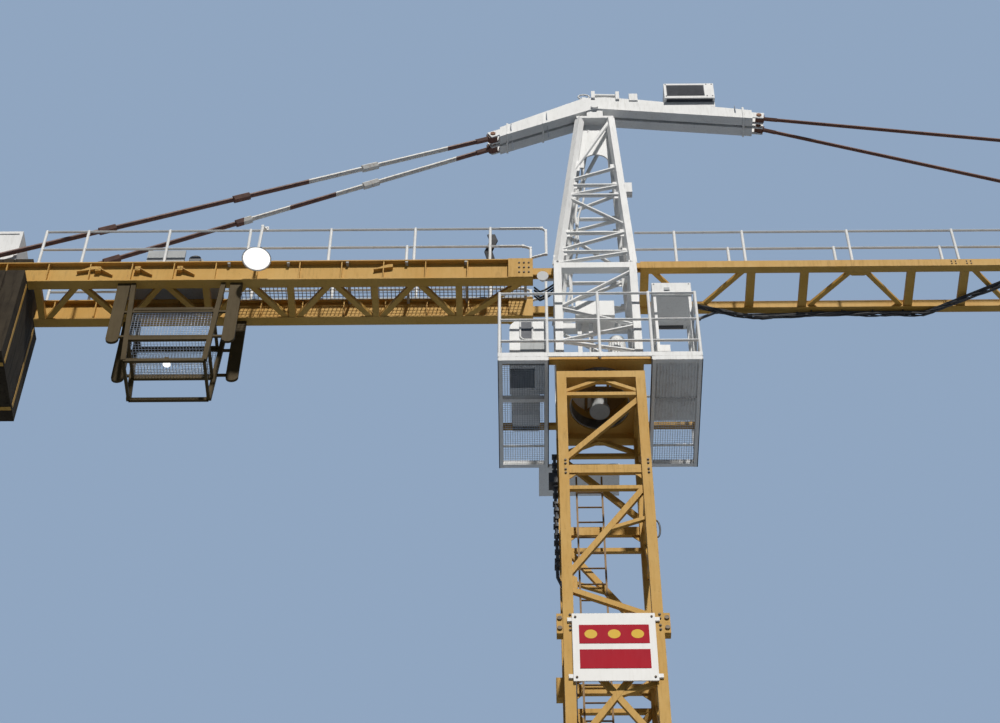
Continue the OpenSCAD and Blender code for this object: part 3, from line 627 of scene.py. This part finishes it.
def slewing_drives():
    """Two ribbed motors inside the lower head, and a case on two posts over them."""
    p = Piece("slewing_drives", "upperworks", WHITE, "white_paint")
    flange_top = HEAD_Z + 0.2
    motor_r = 0.115
    rib_r = 0.119
    ribs = 20
    for x, y, height in ((0.27, -0.2, 0.85), (-0.25, 0.2, 0.7)):
        top = HEAD_Z + height
        p.rod((x, y, HEAD_Z), (x, y, flange_top), 0.16, 32)
        p.rod((x, y, flange_top), (x, y, top), motor_r, 32)
        p.rod((x, y, top - 0.01), (x, y, top + 0.05), motor_r, 32, 0.06)
        for i in range(ribs):
            c, s = round_step(i, ribs)
            rib_x = x + rib_r * c
            rib_y = y + rib_r * s
            p.rod((rib_x, rib_y, HEAD_Z + 0.3), (rib_x, rib_y, top - 0.08), 0.008, 4)
    p.box((-0.3, -0.45, HEAD_Z + 1.15), (0.25, -0.15, HEAD_Z + 1.5))
    for x in (-0.28, -0.12):
        p.box((x, -0.30, HEAD_Z + 0.005), (x + 0.06, -0.24, HEAD_Z + 1.16))
    p.done()


def motor_fins():
    """Cooling fins and flange bolts of the slewing motor, which stands in the hood."""
    low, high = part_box("slewing_motor")
    cx = (low[0] + high[0]) / 2
    cy = (low[1] + high[1]) / 2
    p = Piece("motor_fins", "upperworks", WHITE, "white_paint")
    fins = 24
    fin_r = 0.152
    bolt_out = 0.145
    for i in range(fins):
        c, s = round_step(i, fins)
        x = cx + fin_r * c
        y = cy + fin_r * s
        p.rod((x, y, low[2] + 0.3), (x, y, low[2] + 0.66), 0.009, 4)
    for sx, sy in CORNERS:
        p.bolt((cx + sx * bolt_out, cy + sy * bolt_out, low[2] + 0.26), (0, 0, 1), 0.012)
    p.done()


def rocker_details():
    """Pins with nuts through the rocker's forks, and wire slings round its arms."""
    forks = Piece("fork_pins", "upperworks", FORK, "rusty_tie")
    fork_y = 0.097
    cheek = 0.02  # thickness of a fork's side plate
    pin_end = 0.035
    nut = 0.012
    for tie, x, eye, drop in (("counter_tie_near", -1.51, 0.054, 0.07),
                              ("jib_tie_outer", 2.81, 0.044, 0.055)):
        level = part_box(tie)[1][2] - drop
        for sy in (-1, 1):
            y = sy * fork_y
            forks.rod((x, y - eye - pin_end, level), (x, y + eye + pin_end, level), 0.028, 20)
            for side in (-1, 1):
                start = y + side * (eye + cheek)
                forks.rod((x, start, level), (x, start + side * nut, level), 0.046, 6)
    forks.done()
    wire = Piece("arm_wires", "upperworks", ZINC, "grey_steel")
    turns = 16
    for x, z in ((-1.2, 26.62), (-0.62, 26.95), (2.45, 27.13)):
        points = []
        for i in range(turns + 1):
            c, s = round_step(i, turns)
            points.append((x + 0.02 * c, 0.21 * c, z + 0.2 * s))
        wire.path(points, 0.007, 6)
    wire.done()


def apex_fittings():
    """Lifting ring, rope housing and small lugs on top of the rocker's bend."""
    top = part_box("apex_rocker")[1][2]
    p = Piece("apex_fittings", "upperworks", WHITE, "white_paint")
    y = -0.12
    ring = []
    steps = 20
    for i in range(steps + 1):
        c, s = round_step(i, steps)
        ring.append((-0.02 + 0.09 * c, y, top + 0.03 + 0.07 * s))
    p.path(ring, 0.014, 6)
    p.box((-0.05, y - 0.02, top - 0.18), (0.01, y + 0.02, top - 0.01))
    p.rod((0.16, y, top + 0.03), (0.52, y, top + 0.01), 0.05, 24)
    p.box((0.1, y - 0.08, top - 0.12), (0.16, y + 0.08, top + 0.09))
    p.box((0.5, y - 0.08, top - 0.17), (0.56, y + 0.08, top + 0.07))
    p.box((0.72, -0.19, top - 0.2), (0.86, -0.05, top + 0.01))
    p.done()


def apex_panel():
    """Dark panel with louvres and bolts on the front of the apex box, and a dark case in it."""
    low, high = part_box("apex_box")
    top = high[2]
    x = low[0]
    y = low[1]
    dark = Piece("apex_panel", "upperworks", PANEL, "white_paint")
    dark.box((x + 0.04, y - 0.006, top - 0.39), (x + 0.66, y + 0.001, top - 0.055))
    dark.box((x + 0.005, y + 0.025, top - 0.44), (high[0] - 0.005, y + 0.215, top - 0.27))
    dark.done()
    slats = Piece("apex_louvres", "upperworks", PANEL, "grey_steel")
    for i in range(9):
        z = top - 0.375 + i * 0.035
        slats.box((x + 0.05, y - 0.014, z), (x + 0.65, y - 0.005, z + 0.01))
    for bolt_x in (x + 0.03, high[0] - 0.03, high[0] - 0.12):
        for z in (top - 0.4, top - 0.03):
            slats.bolt((bolt_x, y, z), (0, -1, 0), 0.008)
    slats.done()


# Platforms, cage and other mesh floors

PLATFORM_X = (0.7, 1.4)
PLATFORM_Y = (-0.71, 1.19)


def mesh_platform(side):
    """Platform rebuilt with open mesh in place of its plate: channels, cross members and wires."""
    name = "platform_left" if side < 0 else "platform_right"
    x0, x1 = sorted(side * x for x in PLATFORM_X)
    y0, y1 = PLATFORM_Y
    z0 = FLOOR_Z - 0.09
    z1 = FLOOR_Z
    flange = 0.06
    thick = 0.012
    step_y = y1 + 0.54
    p = Piece(name + "_frame", "upperworks", WHITE, "white_paint")
    for x in (x0, x1 - flange):
        p.box((x, y0, z0), (x + flange, y1, z0 + thick))
        p.box((x, y0, z1 - thick), (x + flange, y1, z1))
        web = x if x == x0 else x + 0.048
        p.box((web, y0, z0), (web + thick, y1, z1))
    for y in (y0, -0.04, y1 - flange):
        p.box((x0, y, z0 + 0.004), (x1, y + flange, z1 - 0.002))
    if side > 0:
        ribbed_tray(p, x0, x1, y0, z0)
    else:
        p.box((-0.84, y1 - 0.02, z0 + 0.02), (0.3, step_y, z0 + 0.06))
        for x in (-0.82, 0.22):
            p.box((x, y1, z0 + 0.05), (x + 0.04, step_y, z0 + 0.08))
    p.done(name)
    grid = Piece(name + "_mesh", "upperworks", ZINC, "grey_steel")
    wire_grid(grid, (x0 + flange, x1 - flange), (y0 + flange, y1 - flange),
              z1 - thick, 0.034, 0.0034)
    grid.done()


def ribbed_tray(piece, x0, x1, y0, z0):
    """Closed plate with ribs under the front of the right platform."""
    piece.box((x0 + 0.01, y0 + 0.01, z0 + 0.03), (x1 - 0.01, y0 + 1.09, z0 + 0.04))
    for i in range(13):
        x = x0 + 0.08 + i * 0.0435
        piece.box((x, y0 + 0.06, z0 + 0.004), (x + 0.014, y0 + 1.08, z0 + 0.031))


def rounded_hood(piece, low, high, radius):
    """Sheet hood: a box whose upper left edge is a quarter round, drawn in XZ and run along Y."""
    steps = 10
    outline = [(low[0], low[2])]
    for i in range(steps + 1):
        angle = math.pi - 0.5 * math.pi * i / steps
        outline.append((low[0] + radius + radius * math.cos(angle),
                        high[2] - radius + radius * math.sin(angle)))
    outline += [(high[0], high[2]), (high[0], low[2])]
    front = [piece.bm.verts.new((x, low[1], z)) for x, z in outline]
    back = [piece.bm.verts.new((x, high[1], z)) for x, z in outline]
    piece.bm.faces.new(front)
    piece.bm.faces.new(list(reversed(back)))
    for i in range(len(outline)):
        j = (i + 1) % len(outline)
        piece.bm.faces.new((front[j], front[i], back[i], back[j]))


HOOD_FRONT = -0.60
PANE_X = (-1.09, -0.92)
PANE_Z = (FLOOR_Z + 0.52, FLOOR_Z + 0.95)


def pane_rim(piece):
    """Raised rim down the pane's left side, round its lower corner and up the right side."""
    y = HOOD_FRONT - 0.006
    bend = 0.09
    rim = [(PANE_X[0], y, PANE_Z[1]), (PANE_X[0], y, PANE_Z[0] + bend)]
    for i in range(1, 7):
        angle = math.pi * (1 + 0.5 * i / 6)
        rim.append((PANE_X[0] + bend + bend * math.cos(angle), y,
                    PANE_Z[0] + bend + bend * math.sin(angle)))
    rim += [(PANE_X[1], y, PANE_Z[0]), (PANE_X[1], y, PANE_Z[1])]
    piece.path(rim, 0.014, 6)


def platform_hood():
    """The slewing drive's hood with its pane, a grey panel of painted shade on its lower front, a
    lying tank on its foot, and two cases.
    """
    p = Piece("platform_hood", "upperworks", WHITE, "white_paint")
    rounded_hood(p, (-1.24, HOOD_FRONT, FLOOR_Z), (-0.71, -0.05, FLOOR_Z + 1.02), 0.22)
    tank_y, tank_z = 0.45, FLOOR_Z + 0.28
    p.rod((-1.22, tank_y, tank_z), (-0.82, tank_y, tank_z), 0.24, 36)
    p.box((-1.2, 0.3, FLOOR_Z), (-0.84, 0.6, FLOOR_Z + 0.09))
    p.box((0.80, -0.58, FLOOR_Z), (0.98, -0.2, FLOOR_Z + 0.42))
    p.box((1.22, -0.5, FLOOR_Z), (1.32, -0.3, FLOOR_Z + 0.36))
    pane_rim(p)
    p.done()
    pane = Piece("hood_pane", "upperworks", PANEL, "grey_steel")
    pane.box((PANE_X[0] + 0.01, HOOD_FRONT - 0.003, PANE_Z[0] + 0.04),
             (PANE_X[1], HOOD_FRONT + 0.01, PANE_Z[1]))
    pane.done()
    # Grey sheet on the hood's lower front: painted shade on the white hood.
    panel = Piece("hood_shade_panel", "upperworks", GREY, "grey_steel")
    panel.box((PANE_X[0], HOOD_FRONT - 0.006, FLOOR_Z + 0.05),
              (-0.72, HOOD_FRONT + 0.01, FLOOR_Z + 0.47))
    panel.done()


def platform_hoses():
    """Hoses between the right platform's cases, and hoses and a lamp at the girders' root."""
    dark = Piece("platform_hoses", "upperworks", BLACK, "black_cable")
    for k in range(5):
        shift = 0.03 * k
        dark.path([(0.98 + shift, -0.34, FLOOR_Z + 0.02),
                   (1.02 + shift, -0.4, FLOOR_Z + 0.16),
                   (1.10 + 0.5 * shift, -0.36, FLOOR_Z + 0.20 + 0.3 * shift),
                   (1.22, -0.38, FLOOR_Z + 0.1 + shift)], 0.016, 6)
    dark.done()
    junction = Piece("root_hoses", "upperworks", BLACK, "black_cable")
    for k in range(4):
        junction.path([(-0.88, -0.2 + 0.05 * k, GIRDER_Z + 0.05),
                       (-0.80, -0.24 + 0.05 * k, GIRDER_Z - 0.12),
                       (-0.70, -0.22 + 0.05 * k, GIRDER_Z - 0.02),
                       (-0.60, -0.2 + 0.05 * k, GIRDER_Z + 0.12)], 0.015, 6)
    junction.done()
    lamp = Piece("root_lamp", "upperworks", WHITE, "white_paint")
    lamp.rod((-0.76, -0.43, GIRDER_Z + 0.02), (-0.76, -0.36, GIRDER_Z + 0.04), 0.085, 28, 0.05)
    lamp.rod((-0.76, -0.36, GIRDER_Z + 0.04), (-0.76, -0.3, GIRDER_Z + 0.1), 0.03, 12)
    lamp.bar((-0.76, -0.3, GIRDER_Z + 0.1), (-0.6, -0.3, GIRDER_Z + 0.1), 0.04, 0.02)
    lamp.done()


def ring_floor():
    """Floor plate with a hatch over the ring's bore, with the swivel for the cables under it."""
    p = Piece("ring_floor", "upperworks", AGED_AND_SHADED_OCHRE, "ochre_paint")
    half = 0.5
    hatch = -0.05  # the hatch is open from here to the right and to the front
    z = HEAD_Z + 0.004
    top = z + 0.012
    p.box((-half, hatch, z), (half, half, top))
    p.box((-half, -half, z), (hatch, hatch, top))
    for i in range(4):
        p.box((-half + i * 0.3, -0.48, z - 0.03), (-0.46 + i * 0.3, 0.48, z))
    p.done()
    swivel = Piece("cable_swivel", "upperworks", GREY, "grey_steel")
    y = 0.12
    flange_z = HEAD_Z - 0.28
    swivel.rod((0.0, y, HEAD_Z), (0.0, y, flange_z), 0.11, 32)
    swivel.rod((0.0, y, flange_z), (0.0, y, HEAD_Z - 0.34), 0.14, 32)
    swivel.done()


CAGE_X = (-6.62, -5.49)
CAGE_Y = (-COUNTER_Y + 0.07, COUNTER_Y - 0.07)
CAGE_LEVELS = [GIRDER_Z - d for d in (0.64, 1.35, 1.85)]
HANGER_X = (-6.846, -5.21)  # middles of the plates that hang from the girders


def cage_frame():
    """The service cage's hanger plates, leaning legs and rails."""
    # Dark cage ochre here is painted shade under the girders.
    p = Piece("cage_frame", "upperworks", SHADED_CAGE_OCHRE, "ochre_paint")
    plate_low = GIRDER_Z - 1.34
    plate_half = 0.09
    lean_out = 0.09
    for y in CAGE_Y:
        for x in HANGER_X:
            p.box((x - plate_half, y - 0.02, plate_low),
                  (x + plate_half, y + 0.02, GIRDER_Z - 0.0005))
            p.rod((x, y - 0.0198, plate_low), (x, y + 0.0198, plate_low), plate_half, 32)
        for x, lean in zip(CAGE_X, (-lean_out, lean_out)):
            p.bar((x + lean, y, GIRDER_Z - 0.002), (x, y, CAGE_LEVELS[2]), 0.07, 0.05)
        for z in CAGE_LEVELS:
            p.bar((CAGE_X[0], y, z), (CAGE_X[1], y, z), 0.06, 0.04)
        for z in (CAGE_LEVELS[0] - 0.06, CAGE_LEVELS[1] + 0.06):
            p.bar((HANGER_X[0], y, z), (HANGER_X[1], y, z), 0.04, 0.03)
    for x in CAGE_X:
        for z in CAGE_LEVELS:
            p.bar((x, CAGE_Y[0], z), (x, CAGE_Y[1], z), 0.06, 0.04)
    p.done("service_cage")


def cage_rebuilt():
    """Service cage with open mesh panels, in place of its closed plates, and a lamp under it."""
    cage_frame()
    grid = Piece("cage_mesh", "upperworks", ZINC, "grey_steel")
    for y in CAGE_Y:
        wire_grid(grid, CAGE_X, (CAGE_LEVELS[1], CAGE_LEVELS[0]), y, 0.045, 0.004, "xz")
    wire_grid(grid, CAGE_X, CAGE_Y, CAGE_LEVELS[1], 0.045, 0.004)
    grid.done()
    lowest = CAGE_LEVELS[2]
    x, y = -6.02, -0.28
    lamp = Piece("cage_lamp", "upperworks", REFLECTOR, "white_paint")
    lamp.rod((x, y, lowest + 0.04), (x, y, lowest), 0.04, 24, 0.055)
    lamp.done()
    arm = Piece("cage_lamp_arm", "upperworks", SHADED_CAGE_OCHRE, "ochre_paint")
    arm.box((-6.05, -0.36, lowest + 0.03), (-5.99, -0.25, lowest + 0.06))
    arm.done()


# Counter-jib

def girder_fittings():
    """Bolts at the girders' root, and the slanted lugs on the near girder's web."""
    bolts = Piece("counter_jib_bolts", "upperworks", BOLT, "grey_steel")
    root_x = -0.9
    plate_y = 0.428
    for sy in (-1, 1):
        for dx in (0.06, 0.13, 0.2):
            for dz in (0.12, 0.24, 0.36):
                bolts.bolt((root_x - dx, sy * plate_y, GIRDER_Z + dz), (0, sy, 0), 0.013)
    bolts.done()
    lugs = Piece("girder_lugs", "upperworks", OCHRE, "ochre_paint")
    for x in (-7.28, -6.7, -6.08):
        lugs.bar((x, -0.34, GIRDER_Z + 0.34), (x + 0.22, -0.30, GIRDER_Z + 0.2), 0.014, 0.16)
        lugs.box((x - 0.03, -0.41, GIRDER_Z + 0.27), (x + 0.05, -0.27, GIRDER_Z + 0.37))
        pin_z = GIRDER_Z + 0.32
        lugs.rod((x, -0.415, pin_z), (x, -0.27, pin_z), 0.03, 16)
    lugs.done()


def counter_jib_deck():
    """Mesh walkway between the girders, with its edge strips and cross bars."""
    deck = Piece("counter_jib_deck", "upperworks", GREY, "grey_steel")
    x0, x1 = -5.4, -1.0
    wire_grid(deck, (x0, x1), (-0.26, 0.26), GIRDER_TOP - 0.03, 0.06, 0.006)
    for y in (-0.262, 0.25):
        deck.box((x0, y, GIRDER_TOP - 0.05), (x1, y + 0.012, GIRDER_TOP - 0.02))
    for i in range(6):
        x = -5.38 + i * 0.87
        deck.box((x, -0.414, GIRDER_TOP - 0.065), (x + 0.04, 0.414, GIRDER_TOP - 0.035))
    deck.done()


def winch_details():
    """Turns of rope on the hoist drum, and two round housings beside it."""
    rope = Piece("winch_rope", "upperworks", STEEL, "grey_steel")
    drum_x = -6.34
    drum_z = GIRDER_TOP + 0.3
    drum_r = 0.158
    steps = 20
    for i in range(22):
        y = -0.19 + i * 0.0175
        points = []
        for j in range(steps + 1):
            c, s = round_step(j, steps)
            points.append((drum_x + drum_r * c, y, drum_z + drum_r * s))
        rope.path(points, 0.008, 4)
    rope.done()
    gear = Piece("winch_gear", "upperworks", DARK, "grey_steel")
    gear_x = -5.9
    gear_z = GIRDER_TOP + 0.23
    gear.rod((gear_x, 0.23, gear_z), (gear_x, 0.33, gear_z), 0.11, 28)
    gear.rod((gear_x, -0.23, gear_z), (gear_x, -0.3, gear_z), 0.09, 28)
    gear.done()


def rail_bundle():
    """Cables that climb from the near girder to its rail."""
    p = Piece("rail_bundle", "upperworks", BLACK, "black_cable")
    for i in range(5):
        a = 0.022 * i
        p.path([(-1.55 + a, -0.36, GIRDER_TOP + 0.02),
                (-1.60 + a, -0.34, GIRDER_TOP + 0.3),
                (-1.52 + a, -0.36, GIRDER_TOP + 0.55),
                (-1.56 + a, -0.35, GIRDER_TOP + 0.72)], 0.018, 6)
    p.done()


def weight_details():
    """Flat straps under the slabs of ballast and up their right sides."""
    p = Piece("weight_straps", "upperworks", OCHRE, "ochre_paint")
    thick = 0.004
    width = 0.06
    for i in range(3):
        low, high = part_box("counterweight_%d" % (i + 1))
        for y in (-0.42, 0.36):
            p.box((low[0] + 0.01, y, low[2] - thick), (high[0] - 0.01, y + width, low[2]))
            p.box((high[0], y, low[2] + 0.05), (high[0] + thick, y + width, low[2] + 1.9))
    p.done()


# Lamp, cabinet and jib

def lamp_glass():
    """Glowing face of the floodlight, a painted reflection of the sun as well as lamp light, and
    two screws of its clamp.
    """
    p = Piece("lamp_glass", "upperworks", REFLECTOR, "white_paint")
    low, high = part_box("floodlight")
    cx = -4.915
    cy = low[1] + 0.215
    p.rod((cx, cy, low[2] + 0.012), (cx, cy, low[2] + 0.02), 0.2, 48)
    p.done()
    clamp = Piece("lamp_clamp", "upperworks", ZINC, "grey_steel")
    for dx in (-0.01, 0.05):
        clamp.bolt((cx + dx, -0.438, high[2] - 0.03), (0, -1, 0), 0.01)
    clamp.done()


def cabinet_details():
    """The control box's latch and screws, the tray under it and a dark vent."""
    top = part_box("control_box")[1][2]
    front = -0.52
    p = Piece("cabinet_trim", "upperworks", GREY, "grey_steel")
    p.box((0.97, front - 0.012, top - 0.19), (1.05, front, top - 0.13))
    for x in (0.83, 1.33):
        for z in (top - 0.26, top - 0.03):
            p.bolt((x, front, z), (0, -1, 0), 0.008)
    p.done()
    tray = Piece("cabinet_base", "upperworks", WHITE, "white_paint")
    tray.box((0.83, -0.49, top - 0.297), (1.33, 0.07, top - 0.29))
    tray.done()
    dark = Piece("cabinet_vent", "upperworks", DARK, "grey_steel")
    dark.box((0.86, 0.02, top - 0.31), (1.26, 0.075, top - 0.297))
    dark.done()


def jib_bolts():
    """Bolts on both sides of the five joints between the jib's sections."""
    p = Piece("jib_bolts", "upperworks", BOLT, "grey_steel")
    jib_start = 0.67
    section = 4.68
    for k in range(1, 6):
        joint = jib_start + k * section
        for sy in (-1, 1):
            for dx in (-0.14, -0.08, 0.08, 0.14):
                for dz in (0.05, 0.11):
                    p.bolt((joint + dx, sy * 0.419, JIB_Z + dz), (0, sy, 0), 0.010)
    p.done()


def cable_ties():
    """Ties that hold the cables to the jib's near chord, and to its far one by the root."""
    p = Piece("cable_ties", "upperworks", BLACK, "black_cable")
    for i in range(26):
        x = 6.6 + i * 0.8
        p.box((x, -0.42 + 0.01, JIB_Z - 0.05), (x + 0.02, -0.34, JIB_Z))
    for i in range(4):
        x = 3.2 + i * 0.45
        p.box((x, 0.36, JIB_Z - 0.055), (x + 0.02, 0.43, JIB_Z))
    p.done()


def cable_strands():
    """Loose strands under the jib's root, along the far chord and then across to the near one."""
    p = Piece("cable_strands", "upperworks", BLACK, "black_cable")
    start = 1.5
    cross = 4.9
    for k in range(7):
        points = []
        for i in range(37):
            x = start + i * 0.14
            t = (x - start) / 5.0
            y = 0.2 + 0.2 * min(1, t * 5) if x < cross else 0.4 - 0.76 * (x - cross) / 1.6
            sway = 0.03 * math.cos(5 * x + 0.9 * k)
            sag = 0.10 * math.exp(-((x - 2.1) / 0.7) ** 2)
            wave = 0.014 * math.sin(7.0 * x + k * 1.6)
            points.append((x, y + sway, JIB_Z - 0.05 - sag + wave - 0.01 * (k % 3)))
        p.path(points, 0.011, 5)
    p.done()


# Stage

BOUNCE_COLOR = (0.235, 0.27, 0.315, 1)
FLOOR_COLOR = (0.72, 0.72, 0.72, 1)
SKY_COLOR = (0.80, 0.88, 1.0, 1)
SHOWN_SKY_COLOR = (0.28, 0.38, 0.53, 1)


def seen_rays(tree):
    """One where the camera looks straight at a surface, or through glass or gloss."""
    rays = tree.nodes.new("ShaderNodeLightPath")
    total = rays.outputs["Is Camera Ray"]
    for name in ("Is Glossy Ray", "Is Transmission Ray"):
        most = tree.nodes.new("ShaderNodeMath")
        most.operation = "MAXIMUM"
        tree.links.new(total, most.inputs[0])
        tree.links.new(rays.outputs[name], most.inputs[1])
        total = most.outputs[0]
    return total


def swap_shaders(tree, out_kind, unseen, seen):
    """Ends a tree in one shader for seen rays and in another one for the rest."""
    out = tree.nodes.new(out_kind)
    swap = tree.nodes.new("ShaderNodeMixShader")
    tree.links.new(seen_rays(tree), swap.inputs["Fac"])
    tree.links.new(unseen.outputs[0], swap.inputs[1])
    tree.links.new(seen.outputs[0], swap.inputs[2])
    tree.links.new(swap.outputs[0], out.inputs["Surface"])


def shader(tree, kind, color):
    """Shader node of that kind and color."""
    node = tree.nodes.new(kind)
    node.inputs["Color"].default_value = color
    return node


def floor_material():
    """Pale where it is seen, darker and cooler for the light that it throws back up."""
    mat = bpy.data.materials.new("floor")
    mat.use_nodes = True
    tree = mat.node_tree
    tree.nodes.clear()
    bounce = shader(tree, "ShaderNodeBsdfDiffuse", BOUNCE_COLOR)
    shown = shader(tree, "ShaderNodeBsdfDiffuse", FLOOR_COLOR)
    swap_shaders(tree, "ShaderNodeOutputMaterial", bounce, shown)
    return mat


def make_floor():
    """Flat ground that belongs to the stage, not to the part."""
    mesh = bpy.data.meshes.new("floor")
    x0, x1, y0, y1 = -24.0, 44.0, -11.0, 26.0
    mesh.from_pydata([(x0, y0, 0), (x1, y0, 0), (x1, y1, 0), (x0, y1, 0)], [], [(0, 1, 2, 3)])
    mesh.materials.append(floor_material())
    floor = bpy.data.objects.new("floor", mesh)
    bpy.context.collection.objects.link(floor)


def sun(name, energy, turn, color, angle):
    """Sun lamp; turn is in degrees."""
    data = bpy.data.lights.new(name, "SUN")
    data.energy = energy
    data.color = color
    data.angle = angle
    obj = bpy.data.objects.new(name, data)
    obj.rotation_euler = [math.radians(a) for a in turn]
    bpy.context.collection.objects.link(obj)


def make_sky():
    """Blue sky where it is seen, and a dimmer, paler one for the light that it gives."""
    world = bpy.data.worlds.new("studio")
    bpy.context.scene.world = world
    world.use_nodes = True
    tree = world.node_tree
    tree.nodes.clear()
    dim = shader(tree, "ShaderNodeBackground", SKY_COLOR)
    dim.inputs["Strength"].default_value = 0.13
    shown = shader(tree, "ShaderNodeBackground", SHOWN_SKY_COLOR)
    shown.inputs["Strength"].default_value = 1.0
    swap_shaders(tree, "ShaderNodeOutputWorld", dim, shown)


def make_stage():
    """Floor, two suns and sky."""
    make_floor()
    sun("key", 4.2, (40, 0, 12), (1.0, 0.96, 0.9), 0.05)
    sun("fill", 0.3, (60, 0, 175), (0.85, 0.92, 1.0), 0.6)
    make_sky()
    bpy.context.scene.view_settings.view_transform = "Standard"


make_camera()
dress_frame()
mast_bolts()
mast_gussets()
mast_cables()
sign_face()
ring_bolts()
head_gussets()
head_cables()
slewing_drives()
motor_fins()
rocker_details()
apex_fittings()
apex_panel()
mesh_platform(-1)
mesh_platform(1)
platform_hood()
platform_hoses()
ring_floor()
cage_rebuilt()
girder_fittings()
counter_jib_deck()
winch_details()
rail_bundle()
weight_details()
lamp_glass()
cabinet_details()
jib_bolts()
cable_ties()
cable_strands()
make_stage()
